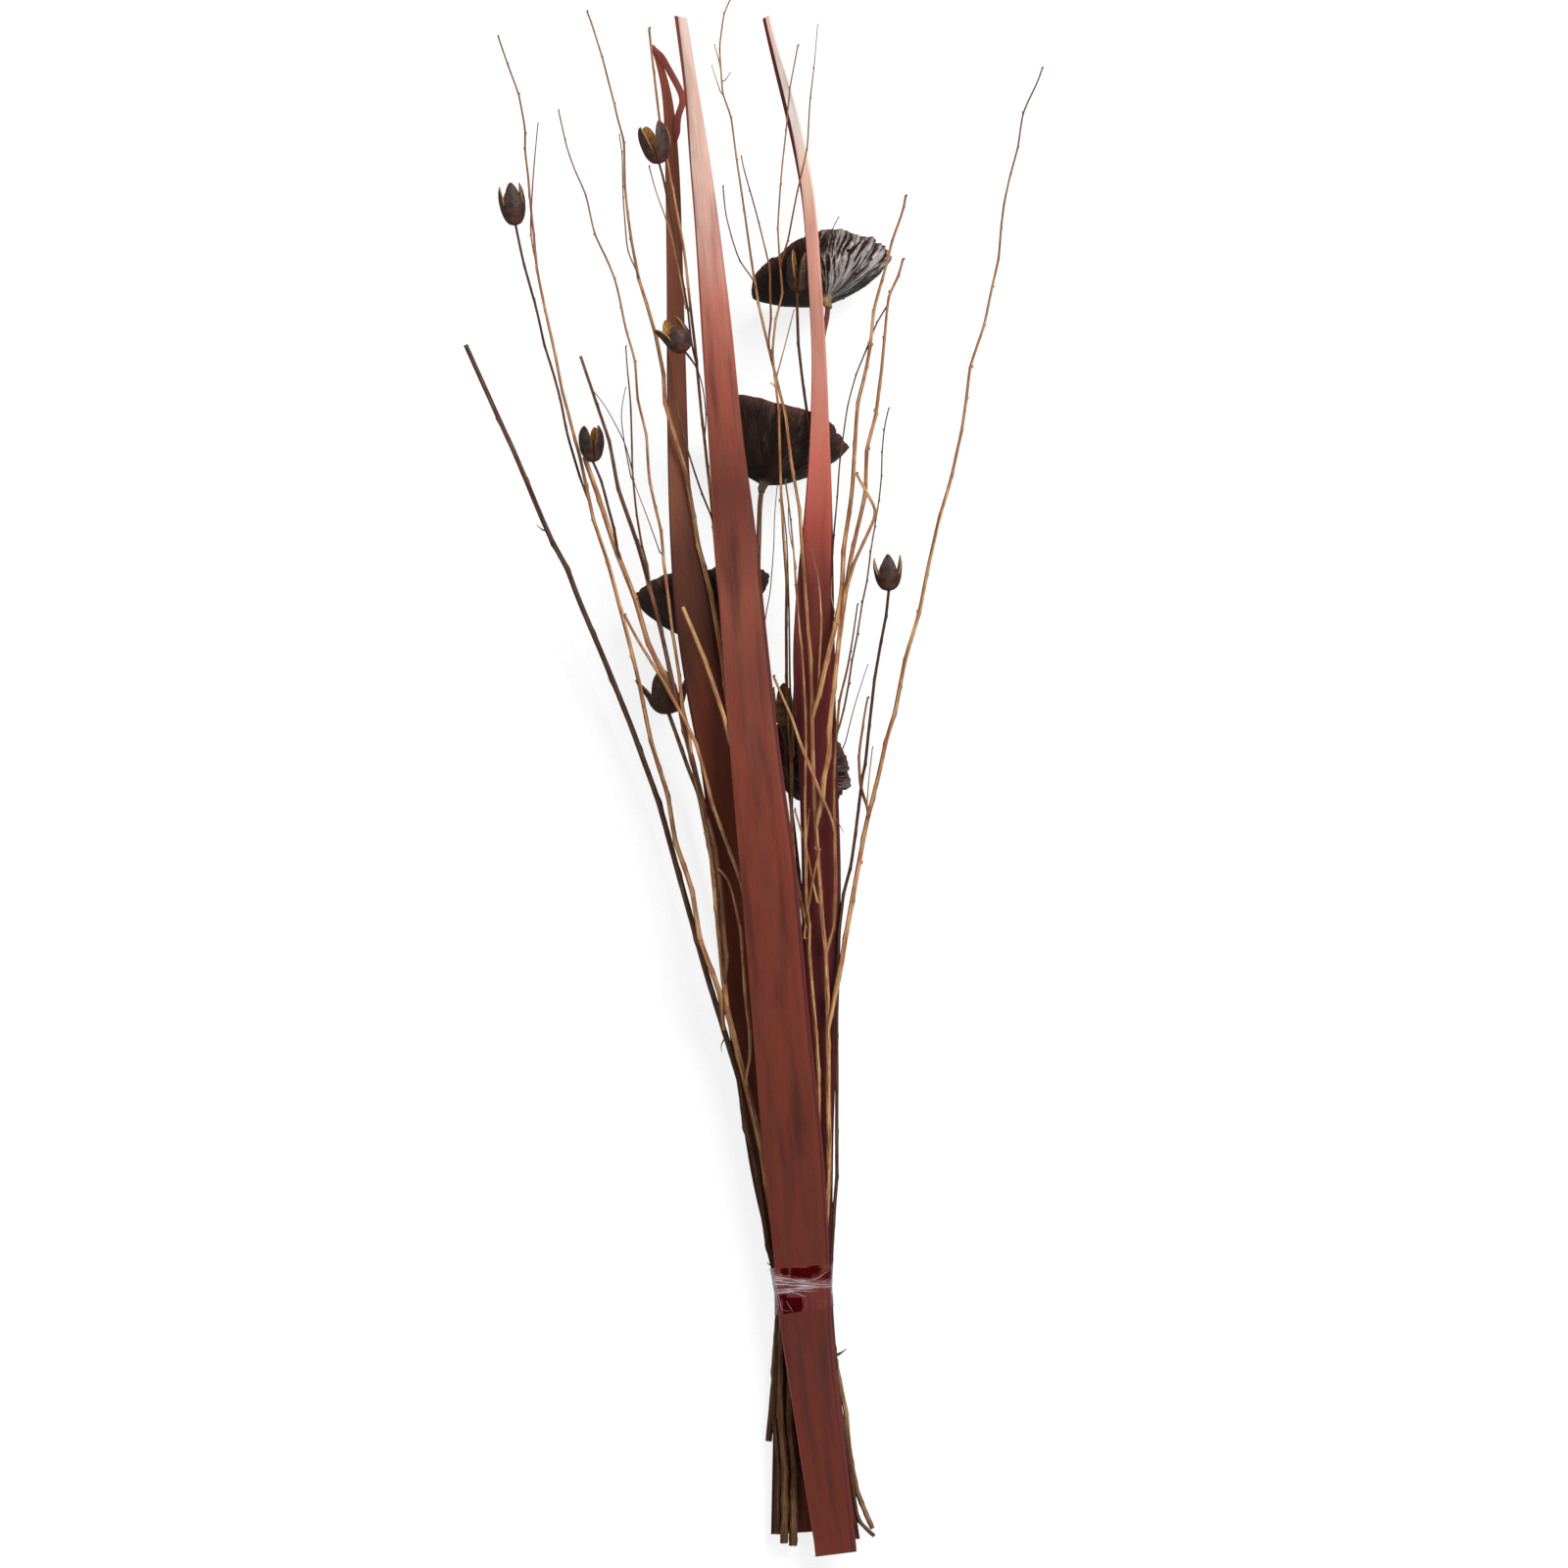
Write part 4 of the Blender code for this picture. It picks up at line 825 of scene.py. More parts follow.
# number, how far down it has split, shell, for each valve its side, lean, height, bluntness and width
# near the tip, and how uneven the wall is
CAPSULES = [
    (1, 0.55, brown_shell, ((84, 0.0, 1.0, 3.4, 0.75), (174, 0.1, 0.93, 3.4, 0.85), (264, 0, 0.8, 2.4, 0.8),
                            (354, 0.04, 0.97, 3.4, 0.85)), 0.02),
    (2, 0.68, brown_shell, ((150, 0.28, 0.95, 2.8, 0.55), (50, 0.04, 1.0, 3.6, 0.75),
                            (322, 0.05, 0.9, 2.6, 0.9), (238, 0.2, 0.9, 2.6, 0.9)), 0.02),
    (3, 0.6, brown_shell, ((80, -0.25, 0.62, 3.0, 0.9), (165, 0.5, 1.0, 3.0, 0.95), (255, 0.0, 1.0, 2.4, 0.9),
                           (350, -0.1, 0.95, 3.0, 0.9)), 0.04),
    (4, 0.6, dark_shell, ((130, 0.0, 0.98, 3.4, 0.85), (30, 0.1, 0.98, 3.0, 0.6), (302, 0, 0.85, 2.4, 0.9),
                          (212, 0, 0.85, 2.4, 0.9)), 0.09),
    (5, 0.66, brown_shell, ((100, 0.1, 0.85, 2.0, 0.6), (175, 0.75, 0.95, 1.9, 0.6),
                            (265, 0.2, 1.0, 2.0, 0.8), (5, 0.75, 0.95, 3.0, 0.85)), 0.03),
    (6, 0.6, brown_shell, ((88, 0.0, 0.97, 2.6, 0.7), (184, 0.3, 0.9, 2.2, 0.6), (268, 0, 0.75, 2.4, 0.8),
                           (352, 0.22, 1.0, 2.6, 0.55)), 0.02),
    (7, 0.72, dark_shell, ((146, 0.05, 0.97, 2.6, 0.35), (38, 0.1, 0.97, 3.4, 0.95), (310, 0, 0.9, 2.4, 0.9),
                           (220, 0, 0.9, 2.4, 0.9)), 0.02),
    (8, 0.55, tan_shell, ((90, 0.0, 0.97, 3.4, 0.8), (180, 0.1, 0.9, 3.0, 0.85), (270, 0, 0.8, 2.4, 0.8),
                          (0, 0.1, 0.95, 3.0, 0.85)), 0.02),
]
stalk_bark = bark("capsule stalk bark", (0.16, 0.075, 0.04), (0.05, 0.023, 0.015), (0.17, 0.095, 0.045),
                  (0.06, 0.03, 0.02))
olive_bark = bark("olive stalk bark", (0.34, 0.21, 0.095), (0.12, 0.07, 0.03), (0.22, 0.145, 0.06),
                  (0.08, 0.05, 0.03))

for number, split, material, valves, rumple in CAPSULES:
    grow_capsule(number, split, material, valves, rumple)
    grow_stem(f"capsule_stalk_{number}", f"dry_stalk_{number}", "stalk", STALK_FORKS.get(number),
              olive_bark if number == OLIVE_STALK else stalk_bark, 60 + number, STALK_KNOTS, STALK_BUDS,
              STALK_SLIM.get(number, (1, 1)), FORKED_AGE, STALK_SHOOTS.get(number, ()))


# ------------------------------------------------------------------------------------------------
# LEAF BLADES
# Three long strap leaves, dried and folded along the midrib, cut at both ends. They are stiff and
# leathery, pale pink near the tip and deep red-brown lower down. The side faces of the folds are
# painted darker or brighter along the edges, as painted shade and painted light.

BLADE_STEP = 0.004
BLADE_THICK = 0.0006
BLADE_UNEVEN = 0.0003
BLADE_EASE = 5
BLADE_COLUMNS = 33
STRIP_STEP, STRIP_LIFT, STRIP_THICK = 0.002, 0.0012, 0.0005
GROOVE_DEEP, GROOVE_PLACE, GROOVE_WIDE = 0.15, 0.28, 2.5
SMOKE = (0.045, 0.016, 0.013)
MOTTLE = (0.03, 0.01, 0.009)
# Painted shade: dark purple along the crease where a side face meets the face.
FOLD_LINE_SHADE = (0.035, 0.008, 0.012)
PALE_PINK = (0.79, 0.53, 0.44)
ROSE = (0.7, 0.41, 0.34)
BRICK = (0.33, 0.082, 0.05)
MAROON = (0.105, 0.018, 0.02)


def blade_rings(node):
    """Edges and crown of a leaf blade along its length, read from the stations of its solid."""
    points = corners_of(node)
    stations = np.unique(np.round(points[:, 1], 4))
    shapes = []
    for y in stations:
        ring = points[np.abs(points[:, 1] - y) < 0.0002]
        places = np.unique(np.round(ring[:, 0], 5))
        keep = [places[0]]
        for place in places[1:]:
            if place - keep[-1] > 0.0001:
                keep.append(place)
        tops = [ring[np.abs(ring[:, 0] - place) < 0.0001][:, 2].max() for place in keep]
        shapes.append(np.array([keep, tops]))
    count = round((stations[-1] - stations[0]) / BLADE_STEP)
    along = np.linspace(stations[0], stations[-1], count)
    table = np.array(shapes).reshape(len(stations), -1)
    smooth = np.column_stack([np.interp(along, stations, column) for column in table.T])
    smooth = eased(smooth, BLADE_EASE).reshape(count, 2, -1)
    return along, smooth[:, 0], smooth[:, 1]


def over_and_back(front, back):
    """Rings that run across the face of a leaf and return across its back."""
    return np.concatenate([front, back[:, ::-1]], axis=1)


def grow_blade(growth, node, seed, left_band, right_band, cut, tip):
    """A blade over its solid, with its shallow groove along the middle.

    left_band and right_band give how far the side faces reach in from the edges, as (share of the
    length, share of the width) pairs. cut is how far the left and right edges reach past the solid's cut
    end, and tip how much further the left edge reaches than the right at the tip, in millimetres.
    """
    along, places, tops = blade_rings(node)
    shares = np.linspace(0, 1, BLADE_COLUMNS)
    first = places[:, :1]
    width = places[:, -1:] - first
    x = first + width * shares
    z = np.array([np.interp(row, places[step], tops[step]) for step, row in enumerate(x)])
    age = (along - along[0]) / (along[-1] - along[0])
    left = np.interp(age, *np.array(left_band).T)[:, None]
    right = np.interp(age, *np.array(right_band).T)[:, None]
    wide = width * 1000
    marks = stacked((left - shares) * wide, (shares - 1 + right) * wide, 0)
    z -= GROOVE_DEEP * np.exp(-((shares - GROOVE_PLACE) * wide / GROOVE_WIDE) ** 2) / 1000
    z += rough(stacked(x * 150, along[:, None] * 10, 0), seed) * BLADE_UNEVEN
    y = along[:, None] + 0 * x
    rows = np.arange(len(along))[:, None]
    y -= np.clip(1 - rows / 2, 0, 1) * np.interp(shares, (0, 1), cut) / 1000
    y -= np.clip(1 - (len(along) - 1 - rows) / 2, 0, 1) * tip / 1000 * shares
    upper = stacked(x, y, z)
    grain = stacked(width * (shares - 0.5), seed, y - along[0])
    growth.skin(over_and_back(upper, upper - (0, 0, BLADE_THICK)), over_and_back(grain, grain + (0, 0.01, 0)),
                age, over_and_back(marks, marks))


def cloud(finish, scale, detail=3.0, distortion=0.0):
    """Noise over the piece, with its own scale along each way of the grain."""
    spread = put(finish.tree, "ShaderNodeMapping", {"Vector": finish.grain, "Scale": scale})
    given = {"Vector": spread.outputs[0], "Scale": 1.0, "Detail": detail, "Distortion": distortion}
    return put(finish.tree, "ShaderNodeTexNoise", given).outputs["Fac"]


def blade_finish(name, stops, left_face_light_and_shade, right_face_shade_and_strip, patches, fold_line_shade=0.0):
    """Dry leaf: a run of colours from the cut end to the tip, and the side faces of its folds in painted
    shade and light; the left blade's right-face colour is its folded strip's own.

    The marks are how far inside each side face a point is, in millimetres.
    """
    finish = Finish(name, 0.5, 0.2, 500.0, 0.008, 1.0)
    run = put(finish.tree, "ShaderNodeValToRGB", {"Fac": finish.age})
    elements = run.color_ramp.elements
    elements[1].position = stops[-1][0]
    for _ in stops[2:]:
        elements.new(0.5)
    for element, (position, colour) in zip(elements, stops):
        element.position, element.color = position, (*colour, 1)

    bands = finish.fade((1.04, 0.97, 0.95), (0.96, 1.0, 0.99), cloud(finish, (120, 1, 2.5), 2.0), 0.38, 0.64)
    banded = finish.mix(1.0, run.outputs["Color"], bands, "MULTIPLY")
    lines = finish.mix(finish.fibre, (0.975, 0.97, 0.97), (1.02, 1.015, 1.015))
    lined = finish.mix(1.0, banded, lines, "MULTIPLY")
    smoky = finish.fade(lined, SMOKE, cloud(finish, (90, 90, 11)), 0.44, 0.78, 0, patches)
    mottled = finish.fade(smoky, MOTTLE, cloud(finish, (260, 260, 34)), 0.5, 0.8, 0, 0.3 * patches)
    # Painted shade and light on the side faces of the folds.
    lefted = finish.fade(mottled, left_face_light_and_shade, finish.marks["X"], -0.2, 0.2)
    leaf = finish.fade(lefted, right_face_shade_and_strip, finish.marks["Y"], -0.2, 0.2)
    # Painted shade: a dark line along the crease at the edge of the right side face.
    if fold_line_shade:
        away = worked(finish.tree, "ABSOLUTE", finish.marks["Y"])
        leaf = finish.fade(leaf, FOLD_LINE_SHADE, away, 0.15, 1.3, fold_line_shade, 0)
    return finish.wear(leaf, finish.fibre, 0.0001)


def add_strip(growth, node, route, width, marks):
    """A narrow strip of the same leaf that has folded over and lies along its face."""
    along, _, tops = blade_rings(node)
    plan = np.array(route) / 1000
    length = along_of(plan)[-1]
    flat = eased(at_steps(plan, np.linspace(0, length, max(8, round(length / STRIP_STEP)))), 2)
    high = np.interp(flat[:, 1], along, tops.max(axis=1)) + STRIP_LIFT
    path = np.column_stack([flat, high])
    _, level, upward = square_frames(path)
    taper = np.interp(np.linspace(0, 1, len(path)), (0, 0.08, 0.85, 1), (0.25, 1, 1, 0.3))[:, None, None]
    across = np.linspace(-0.5, 0.5, 9)[None, :, None]
    bow = (0.25 - across ** 2) * 0.0016
    upper = path[:, None] + level[:, None] * across * taper * width / 1000 + upward[:, None] * bow
    rings = over_and_back(upper, upper - upward[:, None] * STRIP_THICK)
    growth.skin(rings, rings * (1, 0, 1), np.full(len(rings), 0.5), marks)


def blade(node, name, slot, finish, *shape, folded=None):
    """One leaf blade, with its folded tip where it has one."""
    growth = Growth()
    grow_blade(growth, node, *shape)
    if folded:
        add_strip(growth, node, *folded)
    growth.finish(name, finish, slot, node)


# After the run of colours: the painted light and shade of the left and right side faces (the left blade's
# right-face colour is its folded strip's own colour), the share of patches, and the painted shade along the
# front blade's crease.
front_finish = blade_finish(
    "front blade",
    [(0.0, (0.16, 0.031, 0.018)), (0.15, (0.128, 0.022, 0.014)), (0.3, (0.18, 0.038, 0.022)),
     (0.52, (0.22, 0.048, 0.029)), (0.57, (0.19, 0.045, 0.028)), (0.62, (0.28, 0.078, 0.05)),
     (0.69, (0.155, 0.038, 0.025)), (0.76, BRICK), (0.81, (0.46, 0.15, 0.105)), (0.87, ROSE),
     (0.91, (0.79, 0.54, 0.45)), (0.95, PALE_PINK), (1.0, (0.85, 0.65, 0.56))],
    (0.22, 0.05, 0.035), (0.15, 0.025, 0.021), 0.7, 0.5)
blade("leaf_blade_front", "long_blade_front", "leaf_red", front_finish, 3,
      ((0, 0.02), (0.12, 0.02), (0.2, 0), (0.5, 0), (0.56, 0.03), (0.9, 0.07), (0.96, 0.2), (1, 0.3)),
      ((0, 0.1), (0.08, 0.09), (0.16, 0.045), (0.3, 0.05), (0.64, 0.055), (0.68, -0.1), (1, -0.1)),
      (4, 0), 1.5)

left_finish = blade_finish(
    "left blade",
    [(0.0, (0.13, 0.033, 0.02)), (0.42, (0.16, 0.034, 0.015)), (0.5, (0.155, 0.034, 0.018)),
     (0.545, (0.165, 0.036, 0.02)), (0.6, (0.07, 0.019, 0.009)), (0.66, (0.115, 0.034, 0.019)),
     (0.725, (0.34, 0.12, 0.068)), (0.87, (0.33, 0.115, 0.064)), (0.91, (0.24, 0.083, 0.045)),
     (1.0, (0.4, 0.105, 0.062))],
    (0.06, 0.014, 0.012), (0.3, 0.07, 0.055), 0.35)
blade("leaf_blade_left", "long_blade_left", "leaf_brown", left_finish, 5,
      ((0, 0.05), (0.5, 0.06), (0.8, 0.05), (1, 0)), ((0, -0.1), (1, -0.1)), (0, -2), 0,
      folded=([(-59.1, 490.9), (-58.3, 511.4), (-57.2, 512.9), (-53.4, 521.3), (-56, 529.6), (-63.6, 543.3),
               (-71.5, 557.5), (-79.3, 565.5)], 5.3, (-1, 1, 0)))

# Near the tip the run rises almost to white: partly the leaf's pale colour, partly a painted sheen.
right_finish = blade_finish(
    "right blade",
    [(0.0, (0.13, 0.035, 0.024)), (0.3, MAROON), (0.55, (0.13, 0.02, 0.019)), (0.63, (0.175, 0.037, 0.027)),
     (0.67, (0.4, 0.078, 0.057)), (0.715, (0.59, 0.165, 0.12)), (0.77, (0.75, 0.32, 0.245)),
     (0.86, (0.86, 0.41, 0.31)), (0.905, (1.0, 0.66, 0.52)), (0.94, (1.0, 0.9, 0.86)),
     (0.965, (1.0, 0.79, 0.7)), (1.0, (0.88, 0.53, 0.45))],
    MAROON, (0.09, 0.014, 0.014), 0.35)
blade("leaf_blade_right", "long_blade_right", "leaf_red", right_finish, 8,
      ((0, 0), (0.6, 0.02), (0.66, 0.045), (0.82, 0.04), (0.87, 0.06), (0.93, 0.28), (0.953, 0.33),
       (0.976, 0.4), (1, 0.45)),
      ((0, 0.06), (0.6, 0.1), (0.64, 0.09), (0.675, 0.02), (0.7, -0.1), (1, -0.1)), (0, -1.5), -3)


# ------------------------------------------------------------------------------------------------
# TWIGS
# Thirty bare twigs. Five run through the tie, and the others fork from those, from one another or from
# a stalk. The bark is golden tan on most, brown or reddish on some, with a knot and a small scaly bud
# every few centimetres.

OLD_BARK = (0.1, 0.038, 0.016)
golden = bark("golden twig bark", (0.8, 0.44, 0.2), (0.16, 0.052, 0.017), OLD_BARK, (0.14, 0.06, 0.04))
ruddy = bark("ruddy twig bark", (0.52, 0.23, 0.1), (0.11, 0.036, 0.015), OLD_BARK, (0.12, 0.05, 0.038))
brown = bark("brown twig bark", (0.3, 0.14, 0.075), (0.08, 0.032, 0.018), (0.115, 0.052, 0.021),
             (0.1, 0.045, 0.035), 0.55)
greyed = bark("dark twig bark", (0.22, 0.12, 0.07), (0.05, 0.024, 0.015), (0.09, 0.033, 0.015),
              (0.1, 0.05, 0.035), 0.6)

TWIGS = [
    # node, what it forks from, bark, distance of the knots, size of the buds, and how slim it is low
    # down and near its tip
    ("twig_left_dark", None, greyed, 0.045, 1.1, (0.86, 0.82)),
    ("twig_left_main", None, golden, 0.035, 1.1, (0.96, 1.03)),
    ("twig_centre_main", None, golden, 0.03, 0.9, (1.1, 0.8)),
    ("twig_right_main", None, golden, 0.035, 0.9, (1, 0.87)),
    ("twig_right_inner", None, golden, 0.03, 0.9, (1.12, 0.98)),
    ("twig_left_long", "twig_left_dark", golden, 0.03, 1.0, (1.02, 0.95)),
    ("twig_left_fork", "twig_left_long", ruddy, 0.025, 0.8, (0.85, 0.8)),
    ("twig_left_brown", "twig_left_main", brown, 0.03, 1.0, (1.05, 0.85)),
    ("twig_left_golden", "twig_left_brown", golden, 0.025, 0.9, (0.95, 0.85)),
    ("twig_left_cross", "twig_centre_main", golden, 0.04, 0.9, (1, 0.9)),
    ("twig_left_thin", "twig_left_brown", brown, 0.025, 0.8, (1.1, 0.95)),
    ("twig_loop", "twig_left_main", golden, 0.04, 0.8, (1, 0.95)),
    ("twig_centre_strand", "twig_centre_main", ruddy, 0.03, 0.8, (0.86, 0.78)),
    ("twig_centre_long", "twig_centre_main", golden, 0.035, 0.9, (0.95, 0.95)),
    ("twig_centre_red", "twig_centre_long", brown, 0.03, 0.8, (0.9, 0.8)),
    ("twig_cut_short", "twig_centre_main", golden, 0.04, 0.9, (1, 1)),
    ("twig_fork_right", "twig_right_main", ruddy, 0.03, 0.8, (0.9, 0.87)),
    ("twig_centre_whip", "twig_right_main", ruddy, 0.025, 0.7, (0.9, 1.1)),
    ("twig_right_whip", "twig_right_inner", ruddy, 0.03, 0.8, (1, 0.72)),
    ("twig_right_slim", "twig_right_inner", golden, 0.035, 0.9, (1, 0.9)),
    ("twig_bow", "twig_right_main", golden, 0.04, 0.8, (0.75, 0.7)),
    ("twig_right_golden", "twig_right_main", golden, 0.03, 1.0, (1.12, 1.05)),
    ("twig_right_long", "twig_right_main", golden, 0.03, 1.0, (1.12, 1)),
    ("twig_right_edge", "twig_right_main", ruddy, 0.03, 0.9, (1, 0.88)),
    ("twig_right_thorny", "twig_right_edge", brown, 0.018, 1.1, (0.85, 0.9)),
    ("twig_broken", "twig_right_long", golden, 0.03, 0.9, (1, 1)),
    ("twig_slanting", "twig_right_edge", golden, 0.035, 0.9, (1, 0.95)),
    ("twig_far_right", "twig_right_main", golden, 0.032, 1.0, (1.08, 1.02)),
    ("twig_far_fork", "twig_far_right", ruddy, 0.03, 0.8, (0.9, 0.85)),
    ("twig_thin_right", "capsule_stalk_7", brown, 0.03, 0.8, (0.75, 0.95)),
]

# node: its shoots, told as the stalks' are
TWIG_SHOOTS = {
    "twig_right_main": [
        ([(-25, 547), (-27.3, 556), (-29.8, 564)], 0.6, 0.35, None, 0.5),
        ([(18.4, 299.9), (15.9, 302.7), (13.9, 303.9)], 0.5, 0.3, None, 0.7),
        ([(-22.6, 535.7), (-20, 539), (-18, 542.5)], 0.5, 0.3, None, 0.6),
        ([(-24.1, 525.1), (-28.3, 536.9), (-31.7, 547.9)], 0.5, 0.3, None, 0.6),
        ([(17.7, 307.9), (24.5, 332.8), (31.4, 360.1)], 0.6, 0.35, 114, 0.6),
        ([(50.2, -99.1), (45.8, -81.1), (41.3, -55.6), (32.1, -25.2)], 1.2, 0.7, 88, 0.2)],
    "twig_centre_long": [
        ([(-51.3, 358.9), (-56.3, 385.9), (-63.6, 419.4), (-68.9, 435.4), (-75, 451.3), (-80.3, 471.1)],
         0.8, 0.5, None, 0.5)],
    "twig_right_long": [
        ([(63.3, 116.2), (64.7, 128.4), (60.6, 132.2), (59.7, 137.5), (60.7, 153.4)], 0.5, 0.3, None, 0.5)],
    "twig_left_thin": [
        ([(-92.5, 233.2), (-98.6, 257.5), (-105.4, 270.5), (-114.5, 287.2), (-124.4, 299.3)],
         0.5, 0.3, None, 0.9),
        ([(-93.8, 228.9), (-97.3, 245.9), (-100.1, 261.3), (-102.4, 281.1), (-98.6, 300.1)],
         0.5, 0.3, None, 0.9)],
    "twig_left_golden": [([(-71.2, 170.9), (-81.1, 199), (-91.7, 226.4)], 0.5, 0.3, None, 0.9)],
    "twig_far_right": [([(87.7, -27.1), (89.2, -4.1), (92.2, 22.7)], 0.6, 0.4, None, 0.5)],
    "twig_right_edge": [
        ([(63.7, 12.9), (70.9, 23.5), (74.3, 40.2), (80.8, 63.7), (88.4, 86.5)], 0.5, 0.3, None, 0.9),
        ([(63.3, -30.5), (66.7, -37.1), (70.1, -43.4)], 0.6, 0.15, None, 0.7)],
    "twig_right_inner": [
        ([(39, -127), (41.3, -108), (45.8, -80.7), (51.1, -56.3)], 1.2, 0.8, 88, 0.2),
        ([(29.7, 9.9), (14.7, 60.9), (7.7, 100.9), (9.3, 124.5), (13.1, 141.3), (16.2, 181.5),
          (16.2, 199), (18.5, 224.9)], 0.6, 0.3, None, 0.9),
        ([(31.4, 13.6), (29.8, 46.3), (28.3, 73.6), (28, 108.6), (27.6, 131.4), (26.8, 155.7), (26, 184.6),
          (23, 208.9), (21.5, 222.6)], 0.9, 0.5, None, 0.5)],
    "twig_right_slim": [
        ([(39.7, -60.9), (41.5, -43), (43.2, -25.2)], 0.9, 0.5, None, 0.2),
        ([(33.6, 158), (32.5, 167.9), (28.7, 183.8), (26.8, 194.5), (27.2, 209.7)], 0.45, 0.3, None, 0.9)],
    "twig_left_dark": [
        ([(-161.7, 189.9), (-164.7, 192.6), (-167.7, 195.2)], 0.7, 0.2, None, 0.6),
        ([(-154, 180), (-155.2, 181.5)], 1.1, 0.7, None, 0.6),
        ([(-20.3, -201.1), (-26.3, -207.1), (-24.3, -213.1)], 0.7, 0.2, None, 0.5),
        ([(16.5, -380.5), (13.5, -378.5), (10.4, -376.2)], 1.0, 0.2, None, 0.3)],
}

# node: large buds, each with its place (y in mm), the side it is on and its length
TWIG_BUDS = {
    "twig_right_inner": [(212.7, 3.1, 2.6)],
    "twig_right_main": [(-55.6, 3.1, 2.4)],
    "twig_left_main": [(-44.9, 2.9, 3.2), (-95.9, 0.3, 2.6)],
    "twig_far_right": [(-67, 0.2, 3.2), (126.8, 2.9, 2.6), (316.8, 0.2, 2.6)],
    "twig_right_long": [(373.1, 2.9, 2.6), (253, 0.3, 2.4), (281.9, 3.0, 2.4)],
    "twig_right_golden": [(332.8, 0.2, 2.6), (332.8, 3.0, 2.6)],
}
SHARP_EASE = 1
CUT_TWIGS = ("twig_left_dark", "twig_left_brown", "twig_cut_short", "twig_bow")
DARK_TWIGS = ("twig_left_dark", "twig_left_brown", "twig_left_thin", "twig_centre_red", "twig_right_thorny")

for seed, (node, parent, material, every, size, slim) in enumerate(TWIGS):
    # A through stem is weathered at its foot, least on the right.
    foot_age = FORKED_AGE if parent else (0.05 if "right" in node else 0.0)
    grow_stem(node, node.replace("twig", "grown_twig"), "twig_dark" if node in DARK_TWIGS else "twig", parent,
              material, seed, every, size, slim, foot_age, TWIG_SHOOTS.get(node, ()), node in CUT_TWIGS,
              TWIG_BUDS.get(node, ()), SHARP_EASE if node == "twig_broken" else TWIG_EASE)


# ------------------------------------------------------------------------------------------------
# THE TIE
# A strip of thin clear film wound round the stems. It has drawn into small folds, and where it was
# pulled tight there are fine white ropes of film across it.

FILM_ROUND = 200
FILM_LONG = 44
FILM_THICK = 0.0002
FILM_OFF = 0.0006
FILM_FOLDS, FILM_CREASES, FILM_RAGGED = 0.0002, 0.00015, 0.0006
# The band's edges: height over its middle (mm) and slope.
FILM_TOP = (19.8, 0.065)
FILM_BOTTOM = (-15.0, 0.14)
# Where the band is gathered: height of the middle, and how far the gathers reach from it at two places
# across the band (m).
FILM_KNOT = -0.393
FILM_SPREAD = ((0.014, 0.0078), (0.061, 0.0018))
FILM_IOR = 1.12
FILM_CLEAR = (0.94, 0.85, 0.92)
FILM_WINE = (0.5, 0.12, 0.2)
FILM_MILK = (0.86, 0.8, 0.82)
# Patches where it clings: left, right, bottom and top (mm).
FILM_CLINGS = ((29, 45, -388, -380), (23, 37.5, -416.5, -403))


def film():
    """Clear film, deeper in colour where it clings and milky where it is gathered.

    The marks are how far it clings and how far it is gathered.
    """
    finish = Finish("clear film", 0.04, 0.2)
    tree = finish.tree
    streaks = finish.range(cloud(finish, (38, 620, 0), 4.0, 0.4), 0.42, 0.66)
    veil = finish.range(cloud(finish, (60, 150, 0), 4.0, 0.4), 0.3, 0.7, 0.35, 1)
    milky = worked(tree, "MULTIPLY", worked(tree, "MULTIPLY", streaks, veil), finish.marks["Y"])
    tree.links.new(finish.range(milky, 0, 1, 1.0, 0.3), finish.surface.inputs["Transmission Weight"])
    finish.surface.inputs["IOR"].default_value = FILM_IOR
    cast = finish.fade(FILM_CLEAR, FILM_WINE, finish.marks["X"], 0.35, 0.75)
    hazed = finish.fade(cast, FILM_MILK, milky, 0, 0.5)
    return finish.wear(hazed, cloud(finish, (70, 420, 70), 4.0, 0.4), 0.00015)


def film_reach(middle, aims, y):
    """How far out, along each aim, a film lies that is drawn tight round all that crosses this level."""
    crossing = []
    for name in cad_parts:
        low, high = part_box(name)
        if name != "tie_film" and low.y < y < high.y:
            crossing.append(drawn_in(name, next(cuts(name, [y])))[:, [0, 2]])
    out = (aims @ (np.vstack(crossing) - (middle.x, middle.z)).T).max(axis=1) + FILM_OFF
    facing = aims @ aims.T
    return np.where(facing > 0.1, out[None, :] / np.maximum(facing, 0.1), np.inf).min(axis=1)


